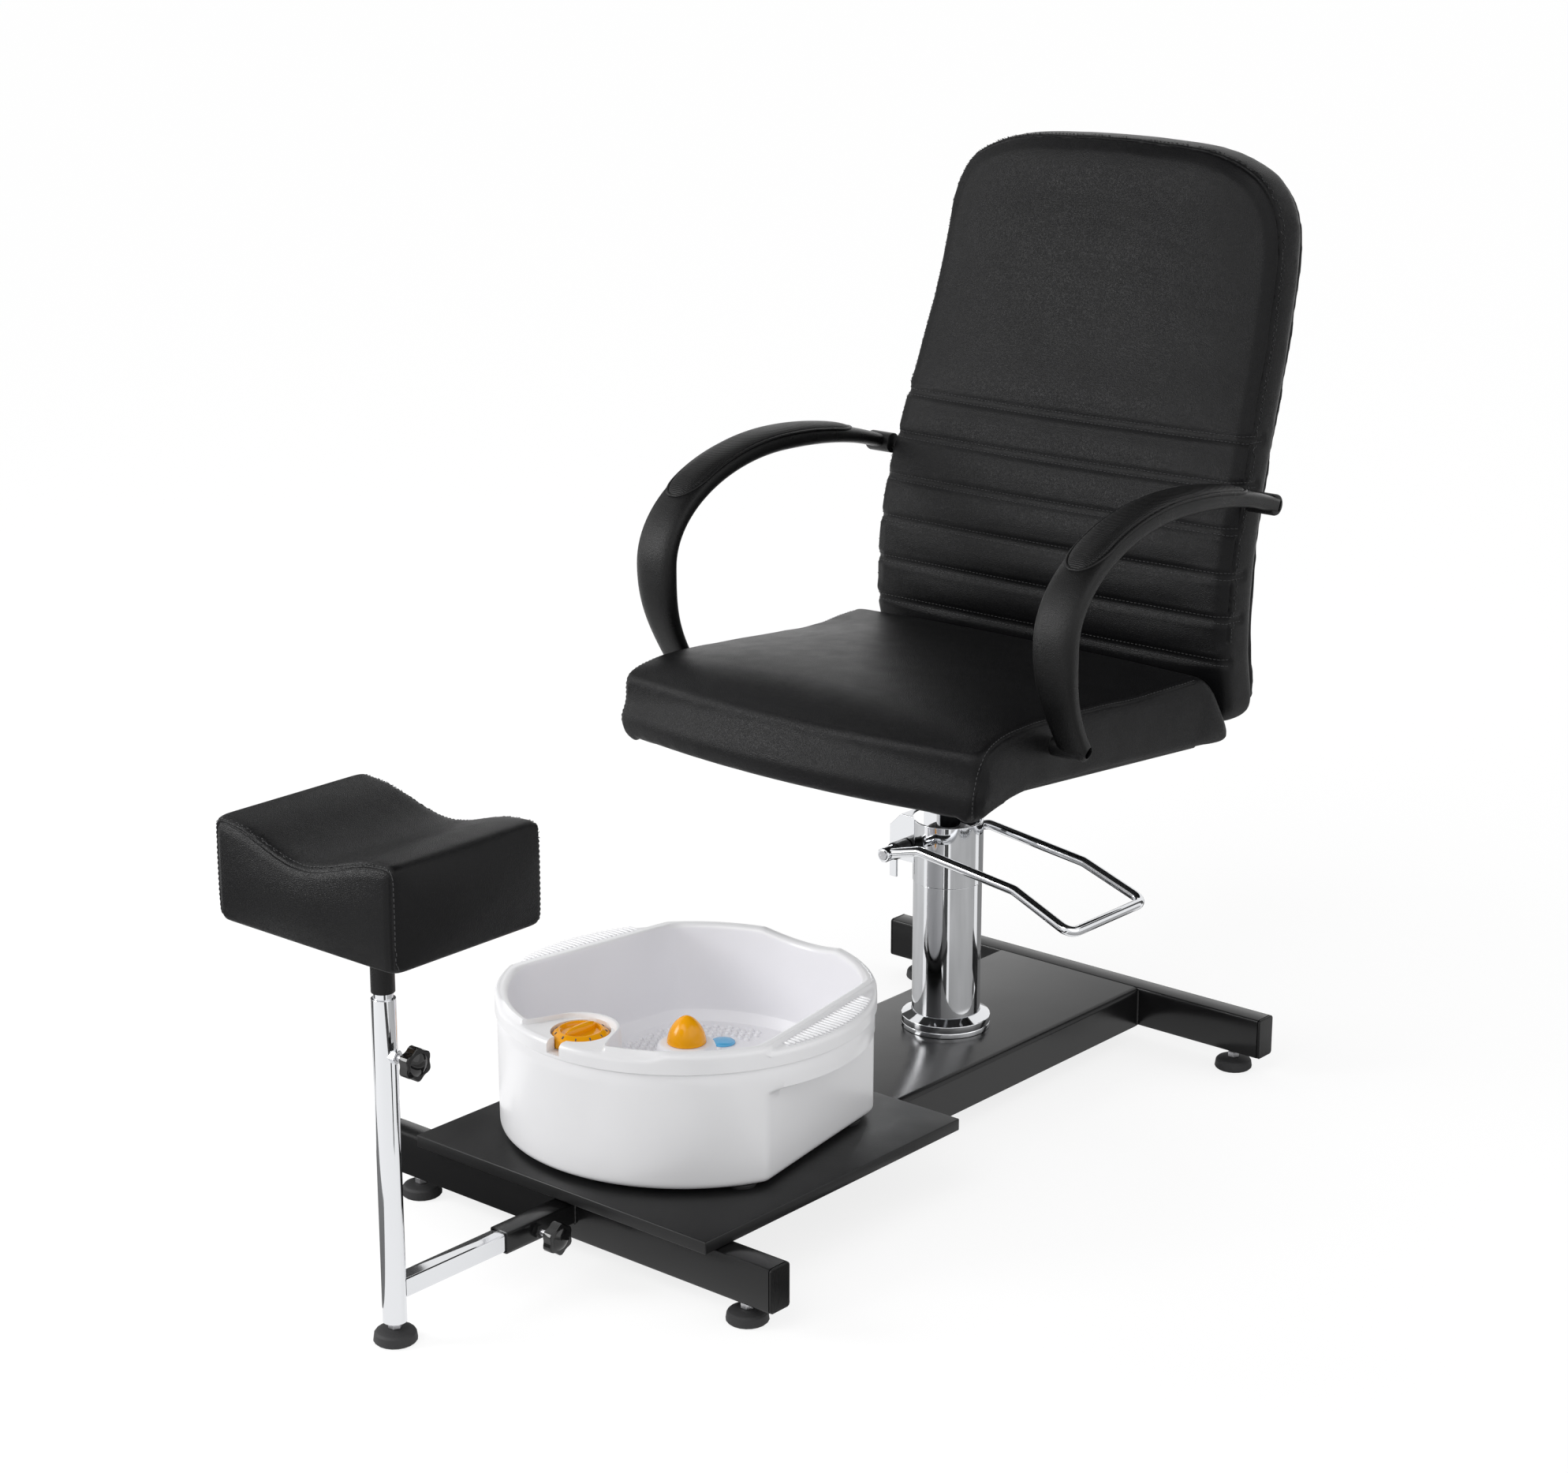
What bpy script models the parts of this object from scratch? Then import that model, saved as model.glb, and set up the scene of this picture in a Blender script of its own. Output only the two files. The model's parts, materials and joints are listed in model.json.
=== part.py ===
"""Pedicure chair with a hydraulic seat, an adjustable footrest and a foot tub.

Units are metres and +Z is up. The sitter faces -Y. The origin is on the floor, under the middle of
the chair: the footrest is at -Y, the backrest at +Y, and the foot tub stands between them.
"""
import math

import bmesh
import bpy
from mathutils import Matrix, Vector

# Clearances
GAP = 0.0003                # between pieces that touch
SLIDE_FIT = 0.0004          # all round a sliding or turning piece
OVERCUT = 0.004             # how far a cutter runs past the face that it opens

# Base frame
FRONT_TUBE_Y = -0.3210      # middle of the front cross tube
WHEELBASE = 0.903           # between the middles of the cross tubes
FLOOR_CLEARANCE = 0.025     # under the cross tubes
TUBE_HEIGHT = 0.050
TUBE_DEPTH = 0.030
TUBE_WALL = 0.002
TUBE_CORNER = 0.0035
TUBE_LENGTH = 0.563
CAP_PLATE = 0.0032
CAP_PLUG = 0.014
BEAM_WIDTH = 0.217
BEAM_WALL = 0.003
BEAM_CORNER = 0.007
TRAY_WIDTH = 0.424
TRAY_LENGTH = 0.422
TRAY_THICKNESS = 0.014
TRAY_OVERHANG = 0.017       # in front of the front cross tube
TRAY_EDGE = 0.0012

# Levelling feet
FOOT_INSET = 0.041          # from a tube's end to its foot
PAD_RADIUS = 0.0228
PAD_HEIGHT = 0.0148
STUD_RADIUS = 0.004
STUD_REACH = 0.018          # of thread above the underside that it screws into
NUT_FLATS = 0.013
NUT_HEIGHT = 0.006

# Footrest arm, sleeve and pole
SLEEVE_SIZE = 0.025
SLEEVE_WALL = 0.002
SLEEVE_LENGTH = 0.101
SLEEVE_HEIGHT = 0.0575      # middle of the sleeve above the floor
SLEEVE_KNOB_REACH = 0.058   # knob's screw, in front of the cross tube
ARM_BAR_WALL = 0.0015
ARM_BAR_INSERT = 0.080      # inside the sleeve
POLE_REACH = 0.2644         # from the front cross tube's middle to the pole
POLE_RADIUS = 0.0125
POLE_WALL = 0.002
POLE_BOTTOM = 0.0226
POLE_WEB = 0.006            # closed end that the foot screws into
POLE_TOP = 0.369
POLE_KNOB_HEIGHT = 0.311
POST_BOTTOM = 0.120
POST_WALL = 0.002
SOCKET_RADIUS = 0.0122
SOCKET_LIFT = 0.0065        # bare post between the pole and the socket
FOOTREST_HEIGHT = 0.447     # underside of the footrest cushion
FOOTREST_WIDTH = 0.258
FOOTREST_DEPTH = 0.203
FOOTREST_THICKNESS = 0.108
FOOTREST_CORNER = 0.012
FOOTREST_EDGE = 0.010
FOOTREST_PULL = 0.004       # how far the sides draw in
SADDLE_DIP = 0.024
SADDLE_HALF = 0.104         # from the dip to a crest
BOARD_INSET = 0.045
FOOTREST_BOARD = 0.006
FOOTREST_PLATE = 0.003
FOOTREST_PLATE_SIZE = 0.080  # Star knobs
KNOB_RADIUS = 0.0178
KNOB_LOBE = 0.0028          # depth of the finger hollows
KNOB_LOBES = 6
KNOB_THICKNESS = 0.012
KNOB_NECK_RADIUS = 0.0085
KNOB_NECK = 0.006
KNOB_DOME = 0.004
KNOB_STANDOFF = 0.0115      # bare screw between nut and knob
KNOB_SCREW_RADIUS = 0.0035
WELD_NUT_FLATS = 0.0125
WELD_NUT_HEIGHT = 0.006

# Hydraulic pump
COLUMN_SETBACK = 0.638      # from the front cross tube's middle to the column
FLANGE_RADIUS = 0.0535
FLANGE_STEP = 0.006         # height of its lower disc
FLANGE_RIM = 0.0145
FLANGE_TOP = 0.0205
FLANGE_GROOVE = 0.0006
COVER_RADIUS = 0.041
COVER_WALL = 0.002
COVER_TOP = 0.2585
COLLAR_RADIUS = 0.0418
COLLAR_WALL = 0.0022
COLLAR_TOP = 0.334
COLLAR_WINDOW = 0.0615      # width of the opening towards the pedal's axle
BODY_TOP = 0.3245
BODY_FLAT = 0.0225          # from the axis to the flat beside the pedal's axle
RAM_RADIUS = 0.014
RAM_BOTTOM = 0.150
RAM_CAP = 0.0516            # of the hub, above the ram's end
EAR_SPREAD = 0.0325         # from the axis to the middle of an ear
EAR_THICKNESS = 0.003
EAR_REACH = 0.061           # from the axis to the ears' free edge
EAR_BOTTOM = 0.258
EAR_TOP = 0.338
EAR_CHAMFER = 0.016
EAR_NOTCH_WIDTH = 0.010     # of the leg that is left beside the notch
EAR_NOTCH_TOP = 0.281
AXLE_OFFSET = 0.0365        # from the axis, towards -X
AXLE_HEIGHT = 0.299
AXLE_RADIUS = 0.006
AXLE_END = 0.0015           # past the pedal's hubs
PEDAL_HALF = 0.068          # from the axis to a rod of the pedal
PEDAL_SPREAD = 0.003        # by which the rods part towards the end bar
PEDAL_ROD_RADIUS = 0.006
PEDAL_HUB_RADIUS = 0.0088
PEDAL_HUB_LENGTH = 0.018
PEDAL_BEND_RADIUS = 0.020
PEDAL_KNEE_X = 0.010        # first bend, from the column
PEDAL_KNEE_RISE = 0.0125    # above the axle
PEDAL_ELBOW_X = 0.148       # second bend
PEDAL_ELBOW_DROP = 0.0045   # below the axle
PEDAL_END_X = 0.230         # end bar
PEDAL_END_DROP = 0.036
BUSH_RADIUS = 0.0105

# Seat
SEAT_HEIGHT = 0.4516        # underside of the seat cushion at the column
SEAT_TILT = math.radians(4.5)
SEAT_HALF_WIDTH = 0.266
SEAT_FRONT = 0.296          # from the column, at the corners
SEAT_REAR = 0.208
SEAT_THICKNESS = 0.071
SEAT_CORNER = 0.017
SEAT_EDGE = 0.016
SEAT_CROWN = 0.018
SEAT_BOW = 0.036            # how far the front edge bows out
SEAT_LIP = 0.026            # how far the front edge drops
SEAT_LIP_DEPTH = 0.095
SEAT_REAR_RISE = 0.012
SEAT_REAR_SLANT = 0.062
SEAT_PULL = 0.011
SEAT_BOARD = 0.012
SEAT_BOARD_INSET = 0.035
SEAT_PLATE = 0.005
SEAT_PLATE_SIZE = 0.200
HUB_RADIUS = 0.024
HUB_LIFT = 0.012            # of the hub's lower end above the collar
HUB_SKIRT = 0.032           # radius of the flange under the plate
HUB_SKIRT_HEIGHT = 0.010

# Backrest, with heights above the seat cushion's underside
BACK_SETBACK = 0.174        # from the column to the front face above the seat
BACK_BOTTOM = -0.0056
BACK_TOP = 0.6554
BACK_HALF_WIDTH = 0.263
BACK_NARROWING = 0.024      # at the top, on each side
BACK_THICKNESS = 0.066
BACK_CORNER = 0.095
BACK_FOOT_CORNER = 0.036
BACK_EDGE = 0.018
BACK_LEAN = 0.115           # from the lumbar part to the top
BACK_LEAN_FROM = 0.1234
BACK_LEAN_TO = 0.5934
BACK_TUCK = 0.024           # how far the foot of the back draws away
BACK_TUCK_FROM = 0.0934
BACK_TUCK_HEIGHT = 0.120
BACK_CROWN = 0.013
BACK_ARCH = 0.014           # rise of the top edge
CHANNEL_COUNT = 6
CHANNEL_TOP = 0.3324        # uppermost sewn seam
CHANNEL_PITCH = 0.0508
CHANNEL_WIDTH = 0.011
CHANNEL_DEPTH = 0.0065
PANEL_THICKNESS = 0.014
PANEL_INSET = 0.010
PANEL_SEAT = 0.0006         # from the cushion to the rear panel
PANEL_EDGE = 0.005

# Loop arms, with places from the column and above the seat cushion's underside
ARM_WIDTH = 0.054
ARM_STANDOFF = 0.005        # from the seat's drawn-in side
ARM_THICKNESS = 0.026
ARM_CORNER = 0.010
ARM_FOOT = (-0.151, 0.0554)
ARM_FOOT_OUT = (-0.183, 0.1044)
ARM_FRONT = (-0.192, 0.1784)
ARM_FRONT_IN = (-0.192, 0.1334)
ARM_FRONT_OUT = (-0.192, 0.2484)
ARM_CREST = (0.017, 0.2969)
ARM_CREST_IN = (-0.093, 0.2969)
ARM_CREST_OUT = (0.097, 0.2969)
ARM_HEEL = (0.218, 0.2654)
ARM_HEEL_IN = (0.168, 0.2830)
ARM_SCALES = (0.74, 1.0, 0.96, 0.66)    # of its section at those four points
ARM_STEPS = 8               # from each of those points to the next
FOOT_BOSS_RADIUS = 0.0165
HEEL_BOSS_RADIUS = 0.0128
BOSS_PROUD = 0.010          # outside the arm's middle plane
BOSS_RECESS_RADIUS = 0.0068
BOSS_RECESS = 0.009
ARM_PAD_WIDTH = 0.046
ARM_PAD_THICKNESS = 0.007
ARM_PAD_FIRST = 11          # step of the arm at which the pad starts
ARM_PAD_LAST = 21

# Foot tub
TUB_OFFSET = -0.017         # sideways on the tray
TUB_SETBACK = 0.194         # from the front cross tube's middle
TUB_FOOT_RADIUS = 0.0164
TUB_FOOT_HEIGHT = 0.0047
TUB_FRONT_FOOT_INSET = 0.018    # from the shell's wall to the foot's middle
TUB_FRONT_FOOT_ANGLE = math.radians(-30)
TUB_REAR_FOOT_INSET = 0.0306
TUB_REAR_FOOT_ANGLE = math.radians(37)
TUB_RADIUS = 0.2062
TUB_DRAFT = 0.0006
TUB_WALL = 0.004
TUB_LIP = 0.0022            # of the rim past the shell
TUB_BOTTOM_ROUND = 0.007
TUB_SEAM = 0.1304           # height of the joint of shell and basin
TUB_RIM = 0.1540
TUB_RIM_ROUND = 0.009
TUB_FLOOR = 0.0425
TUB_FLAT_CUT = 0.0332       # depth of the hand hold on either side
TUB_FLAT_ANGLE = math.radians(9.3)
TUB_FLAT_HEIGHT = 0.1010
TUB_FLAT_ROUND = 0.010
BASIN_INSET = 0.0202        # from the shell's wall to the basin's mouth
BASIN_DRAFT = 0.009
BASIN_FLOOR_ROUND = 0.016
BASIN_FLAT_INSET = 0.011    # from a hand hold to the basin's flat wall
GRIP_DROP = 0.005           # of the ribbed hand holds below the rim
GRIP_BEAD = 0.012           # width of the bead along the basin
POUR_DEPTH = 0.008
POUR_RADIUS = 0.196
DIAL_INSET = 0.0402         # from the shell's wall to the dial's axis
DIAL_RADIUS = 0.031
DIAL_HEIGHT = 0.015
DIAL_POCKET = 0.0195
DIAL_POCKET_FIT = 0.0012
DIAL_WALL = 0.010           # of the island round the dial
DIAL_SLOT = 0.018
DIAL_GRIP_WIDTH = 0.012
DIAL_GRIP_HEIGHT = 0.006
DOME_RADIUS = 0.0217
DOME_HEIGHT = 0.031
DOME_BASE = 0.030           # radius of the island's top under the dome
DOME_BASE_FOOT = 0.043
DOME_BASE_HEIGHT = 0.0428
LENS_RADIUS = 0.014
LENS_HEIGHT = 0.004
LENS_PLACE = (-0.040, 0.105)

# Fineness
SIDES = 32                  # of round pieces
SMALL_SIDES = 20
SCREW_SIDES = 12
TUB_SIDES = 60
ARC_STEPS = 3
CORNER_STEPS = 2            # of a tube's rounded corner

# Places worked out from the sizes above
BASE_TOP = FLOOR_CLEARANCE + TUBE_HEIGHT
REAR_TUBE_Y = FRONT_TUBE_Y + WHEELBASE
TUBE_FACE_Y = FRONT_TUBE_Y - TUBE_DEPTH / 2
FOOT_X = TUBE_LENGTH / 2 - FOOT_INSET
TRAY_TOP = BASE_TOP + GAP + TRAY_THICKNESS
POLE_Y = FRONT_TUBE_Y - POLE_REACH
ARM_BAR_SIZE = SLEEVE_SIZE - 2 * (SLEEVE_WALL + SLIDE_FIT)
SLEEVE_KNOB_Y = TUBE_FACE_Y - SLEEVE_KNOB_REACH
POST_RADIUS = POLE_RADIUS - POLE_WALL - SLIDE_FIT
FOOTREST_BOARD_BASE = FOOTREST_HEIGHT - GAP - FOOTREST_BOARD
FOOTREST_PLATE_BASE = FOOTREST_BOARD_BASE - GAP - FOOTREST_PLATE
COLUMN_Y = FRONT_TUBE_Y + COLUMN_SETBACK
RAM_TOP = SEAT_HEIGHT - RAM_CAP
HUB_BOTTOM = COLLAR_TOP + HUB_LIFT
ARM_X = SEAT_HALF_WIDTH - SEAT_PULL + ARM_STANDOFF + ARM_WIDTH / 2
TUB_Y = FRONT_TUBE_Y + TUB_SETBACK
TUB_BASE = TRAY_TOP + GAP + TUB_FOOT_HEIGHT + GAP
TUB_FLAT = TUB_RADIUS - TUB_FLAT_CUT
BASIN_RADIUS = TUB_RADIUS - BASIN_INSET
BASIN_FLAT = TUB_FLAT - BASIN_FLAT_INSET
DIAL_Y = TUB_Y - TUB_RADIUS + DIAL_INSET

# Colour, roughness and metallic value of each finish
FINISHES = {
    "black_powder_coat": ((0.012, 0.012, 0.013), 0.38, 0.0),
    "black_board": ((0.016, 0.016, 0.017), 0.48, 0.0),
    "black_plastic": ((0.014, 0.014, 0.015), 0.42, 0.0),
    "gloss_black_plastic": ((0.008, 0.008, 0.009), 0.18, 0.0),
    "black_leather": ((0.015, 0.015, 0.016), 0.40, 0.0),
    "black_rubber": ((0.014, 0.014, 0.014), 0.75, 0.0),
    "soft_black": ((0.012, 0.012, 0.013), 0.62, 0.0),
    "chrome": ((0.80, 0.80, 0.81), 0.06, 1.0),
    "zinc": ((0.60, 0.60, 0.61), 0.32, 1.0),
    "cast_black": ((0.020, 0.020, 0.021), 0.60, 0.0),
    "plywood": ((0.42, 0.30, 0.18), 0.65, 0.0),
    "white_plastic": ((0.80, 0.80, 0.82), 0.22, 0.0),
    "orange_plastic": ((0.90, 0.36, 0.01), 0.16, 0.0),
    "blue_lens": ((0.16, 0.52, 0.80), 0.12, 0.0),
}


def clear_scene():
    for item in list(bpy.data.objects):
        bpy.data.objects.remove(item, do_unlink=True)


def new_collection(name):
    collection = bpy.data.collections.new(name)
    bpy.context.scene.collection.children.link(collection)
    return collection


def make_finish(name):
    colour, roughness, metallic = FINISHES[name]
    finish = bpy.data.materials.new(name)
    finish.use_nodes = True
    shader = finish.node_tree.nodes["Principled BSDF"]
    shader.inputs["Base Color"].default_value = (*colour, 1.0)
    shader.inputs["Roughness"].default_value = roughness
    shader.inputs["Metallic"].default_value = metallic
    return finish


clear_scene()
PARTS = new_collection("pedicure_chair")
CUTTERS = new_collection("pedicure_chair_cutters")
MATERIALS = {name: make_finish(name) for name in FINISHES}


def pivot(name, place, parent=None):
    """Empty on a joint's axis, which the pieces of one body hang on."""
    empty = bpy.data.objects.new(name, None)
    empty.empty_display_size = 0.05
    empty.location = place
    PARTS.objects.link(empty)
    bpy.context.view_layer.update()
    if parent:
        hang(empty, parent)
    return empty


def hang(item, parent):
    item.parent = parent
    item.matrix_parent_inverse = parent.matrix_world.inverted()
    bpy.context.view_layer.update()


def finish_part(item, body, finish):
    """Makes an object one of the chair's parts, on its body and with its material."""
    item.data.materials.clear()
    item.data.materials.append(MATERIALS[finish])
    hang(item, body)
    return item


def add_mesh(name, bm, matrix=None):
    """Turns a bmesh into an object that stands where its matrix says."""
    mesh = bpy.data.meshes.new(name)
    bm.to_mesh(mesh)
    bm.free()
    item = bpy.data.objects.new(name, mesh)
    item.matrix_world = matrix or Matrix()
    PARTS.objects.link(item)
    return item


def smooth(item, degrees=35):
    item.data.shade_smooth()
    item.data.set_sharp_from_angle(angle=math.radians(degrees))
    return item


def axis_matrix(axis, place):
    """Frame whose local Z lies along a world axis and whose local Y points up where it can."""
    frames = {
        "Z": Matrix(),
        "X": Matrix(((0, 0, 1), (1, 0, 0), (0, 1, 0))).to_4x4(),
        "Y": Matrix(((1, 0, 0), (0, 0, -1), (0, 1, 0))).to_4x4(),
    }
    return Matrix.Translation(place) @ frames[axis]


def block(name, low, high, bevel=0.0, steps=2):
    """Box between two corners, with rounded edges if asked."""
    bm = bmesh.new()
    size = Vector(high) - Vector(low)
    bmesh.ops.create_cube(bm, size=1.0, matrix=Matrix.Diagonal((*size, 1.0)))
    item = add_mesh(name, bm, Matrix.Translation((Vector(low) + Vector(high)) / 2))
    if bevel:
        round_edges(item, bevel, steps)
    return item


def round_edges(item, width, steps=2, degrees=40):
    modifier = item.modifiers.new("rounded_edges", "BEVEL")
    modifier.width = width
    modifier.segments = steps
    modifier.limit_method = "ANGLE"
    modifier.angle_limit = math.radians(degrees)


def rod(name, radius, start, end, axis, place, sides=SMALL_SIDES):
    """Round bar along a world axis, from start to end on that axis."""
    bm = bmesh.new()
    bmesh.ops.create_cone(bm, cap_ends=True, segments=sides, radius1=radius, radius2=radius,
                          depth=end - start)
    centre = Vector(place)
    centre["XYZ".index(axis)] = (start + end) / 2
    return smooth(add_mesh(name, bm, axis_matrix(axis, centre)))


def turned(name, profile, place, sides=SIDES, closed=False, turn=0.0):
    """Turned piece: radius and height pairs, which run down the outer side, round a vertical axis."""
    bm = bmesh.new()
    points = [bm.verts.new((radius, 0.0, height)) for radius, height in profile]
    for first, second in zip(points, points[1:]):
        bm.edges.new((first, second))
    if closed:
        bm.edges.new((points[-1], points[0]))
    item = add_mesh(name, bm, Matrix.Translation(place) @ Matrix.Rotation(turn, 4, "Z"))
    screw = item.modifiers.new("turned", "SCREW")
    screw.steps = sides
    screw.render_steps = sides
    screw.use_merge_vertices = True
    screw.merge_threshold = 0.00001
    screw.use_smooth_shade = True
    return item


def arc(centre, radius, start, end, steps=ARC_STEPS):
    """Points of a circle's arc, from one angle to another, in degrees."""
    angles = [math.radians(start + (end - start) * step / steps) for step in range(steps + 1)]
    return [(centre[0] + radius * math.cos(a), centre[1] + radius * math.sin(a)) for a in angles]


def rounded_rectangle(width, height, corner, steps=CORNER_STEPS):
    points = []
    for quarter, (side, up) in enumerate(((1, 1), (-1, 1), (-1, -1), (1, -1))):
        centre = (side * (width / 2 - corner), up * (height / 2 - corner))
        points += arc(centre, corner, 90 * quarter, 90 * quarter + 90, steps)
    return points


def curve_object(name, splines, cyclic, flat):
    data = bpy.data.curves.new(name, "CURVE")
    data.dimensions = "2D" if flat else "3D"
    for points in splines:
        spline = data.splines.new("POLY")
        spline.points.add(len(points) - 1)
        for target, point in zip(spline.points, points):
            target.co = (*point, 1.0) if len(point) == 3 else (*point, 0.0, 1.0)
        spline.use_cyclic_u = cyclic
    item = bpy.data.objects.new(name + "_outline", data)
    PARTS.objects.link(item)
    return item


def as_mesh(curve, name):
    """Replaces a curve by the closed mesh that it makes, with its caps welded on."""
    bpy.context.view_layer.update()
    graph = bpy.context.evaluated_depsgraph_get()
    mesh = bpy.data.meshes.new_from_object(curve.evaluated_get(graph))
    bm = bmesh.new()
    bm.from_mesh(mesh)
    bmesh.ops.remove_doubles(bm, verts=bm.verts, dist=0.00001)
    bmesh.ops.recalc_face_normals(bm, faces=bm.faces)
    item = add_mesh(name, bm, curve.matrix_world.copy())
    bpy.data.objects.remove(curve, do_unlink=True)
    bpy.data.meshes.remove(mesh)
    return smooth(item)


def extrusion(name, loops, start, end, axis, place):
    """Flat outline drawn out along a world axis; a second loop inside the first is a bore."""
    curve = curve_object(name, loops, cyclic=True, flat=True)
    curve.data.fill_mode = "BOTH"
    curve.data.extrude = (end - start) / 2
    centre = Vector(place)
    centre["XYZ".index(axis)] = (start + end) / 2
    curve.matrix_world = axis_matrix(axis, centre)
    return as_mesh(curve, name)


def bent_bar(name, points, radius, resolution=3):
    """Round bar along a path."""
    curve = curve_object(name, [points], cyclic=False, flat=False)
    curve.data.bevel_depth = radius
    curve.data.bevel_resolution = resolution
    curve.data.use_fill_caps = True
    return as_mesh(curve, name)


def swept(name, points, scales, profile, matrix):
    """Sweeps a closed profile along a path in the local XY plane, scaled from point to point."""
    section = curve_object(name + "_section", [profile], cyclic=True, flat=True)
    section.data.fill_mode = "NONE"
    curve = curve_object(name, [[(x, y, 0.0) for x, y in points]], cyclic=False, flat=False)
    curve.data.twist_mode = "Z_UP"
    curve.data.bevel_mode = "OBJECT"
    curve.data.bevel_object = section
    curve.data.use_fill_caps = True
    for target, scale in zip(curve.data.splines[0].points, scales):
        target.radius = scale
    curve.matrix_world = matrix
    item = as_mesh(curve, name)
    bpy.data.objects.remove(section, do_unlink=True)
    return item


def rounded_path(corners, radius, steps=ARC_STEPS):
    """Path through corners, each rounded by an arc of the given radius where it has room."""
    path = [Vector(corners[0])]
    for before, corner, after in zip(corners, corners[1:], corners[2:]):
        corner = Vector(corner)
        back = (Vector(before) - corner).normalized()
        ahead = (Vector(after) - corner).normalized()
        half = back.angle(ahead) / 2
        reach = min(radius / math.tan(half), 0.45 * (Vector(before) - corner).length,
                    0.45 * (Vector(after) - corner).length)
        centre = corner + (back + ahead).normalized() * reach / math.cos(half)
        first = corner + back * reach - centre
        last = corner + ahead * reach - centre
        path += [centre + first.slerp(last, step / steps) * first.length for step in range(steps + 1)]
    path.append(Vector(corners[-1]))
    return [tuple(point) for point in path]


def hide_cutter(item):
    for collection in list(item.users_collection):
        collection.objects.unlink(item)
    CUTTERS.objects.link(item)
    item.hide_render = True
    item.display_type = "WIRE"


def combine(item, tool, operation):
    modifier = item.modifiers.new(tool.name, "BOOLEAN")
    modifier.operation = operation
    modifier.object = tool
    modifier.solver = "EXACT"
    hide_cutter(tool)
    return item


def cut(item, tool):
    return combine(item, tool, "DIFFERENCE")


def join(item, tool):
    return combine(item, tool, "UNION")


def ease(value):
    """Smooth step from 0 to 1."""
    value = min(max(value, 0.0), 1.0)
    return value * value * (3 - 2 * value)


def even_cuts(count):
    return [-1 + 2 * (step + 1) / (count + 1) for step in range(count)]


def edge_cuts(half, edge, corner, middle):
    """Cuts across a cushion: close ones in its rounded edges and corners, even ones between."""
    near = [edge / 2, edge, corner]
    outer = sorted({round(1 - reach / half, 6) for reach in near if reach <= max(edge, corner)})
    inner = [place * outer[0] for place in even_cuts(middle)]
    return [-place for place in reversed(outer)] + inner + outer


def cushion(name, cuts, shape, matrix):
    """Soft form: a cube sliced along its three axes, each point then moved to its place."""
    bm = bmesh.new()
    bmesh.ops.create_cube(bm, size=2.0)
    for axis, places in enumerate(cuts):
        normal = Vector((0, 0, 0))
        normal[axis] = 1.0
        for place in places:
            geometry = bm.verts[:] + bm.edges[:] + bm.faces[:]
            bmesh.ops.bisect_plane(bm, geom=geometry, dist=1e-7, plane_co=normal * place, plane_no=normal)
    for vertex in bm.verts:
        vertex.co = shape(*vertex.co)
    bmesh.ops.recalc_face_normals(bm, faces=bm.faces)
    item = add_mesh(name, bm, matrix)
    return smooth(item, 60)


def boxed(u, v, w, half_u, half_w, thickness, corner, edge):
    """Point of a boxed cushion with rounded edges and plan corners; u and w lie in its plan, v is up."""
    inset = min(half_u * (1 - abs(u)), half_w * (1 - abs(w)))
    flat = thickness / 2 - edge
    height = v * thickness / 2
    angle = None
    if abs(v) > 0.9999 and inset < edge:
        angle = math.pi / 2 - (edge - inset) / edge * math.pi / 4
    elif inset < 1e-6 and abs(height) > flat:
        angle = (abs(height) - flat) / edge * math.pi / 4
    x = u * half_u
    y = w * half_w
    if angle is not None:
        height = math.copysign(flat + edge * math.sin(angle), v)
        shift = edge * (1 - math.cos(angle))
        x *= (half_u - shift) / (half_u - inset)
        y *= (half_w - shift) / (half_w - inset)
    across = abs(x) - (half_u - corner)
    along = abs(y) - (half_w - corner)
    if across > 0 and along > 0:
        reach = max(across, along)
        turn = math.pi / 4 * min(across, along) / reach
        long_side, short_side = reach * math.cos(turn), reach * math.sin(turn)
        across, along = (long_side, short_side) if across >= along else (short_side, long_side)
        x = math.copysign(half_u - corner + across, x)
        y = math.copysign(half_w - corner + along, y)
    return x, height, y


def hexagon(name, flats, start, end, axis, place):
    corners = arc((0, 0), flats / math.sqrt(3), 0, 300, 5)
    return extrusion(name, [corners], start, end, axis, place)


# Base frame


def cross_tube(name, y, body):
    """Rectangular tube with a hole in its underside for each levelling foot."""
    outer = rounded_rectangle(TUBE_DEPTH, TUBE_HEIGHT, TUBE_CORNER)
    inner = rounded_rectangle(TUBE_DEPTH - 2 * TUBE_WALL, TUBE_HEIGHT - 2 * TUBE_WALL,
                              TUBE_CORNER - TUBE_WALL)
    place = (0, y, FLOOR_CLEARANCE + TUBE_HEIGHT / 2)
    tube = extrusion(name, [outer, inner], -TUBE_LENGTH / 2, TUBE_LENGTH / 2, "X", place)
    for side in (-1, 1):
        hole = rod(f"{name}_hole_{side}", STUD_RADIUS + SLIDE_FIT, FLOOR_CLEARANCE - OVERCUT,
                   FLOOR_CLEARANCE + TUBE_WALL + OVERCUT, "Z", (side * FOOT_X, y, 0))
        cut(tube, hole)
    return finish_part(tube, body, "black_powder_coat")


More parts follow.
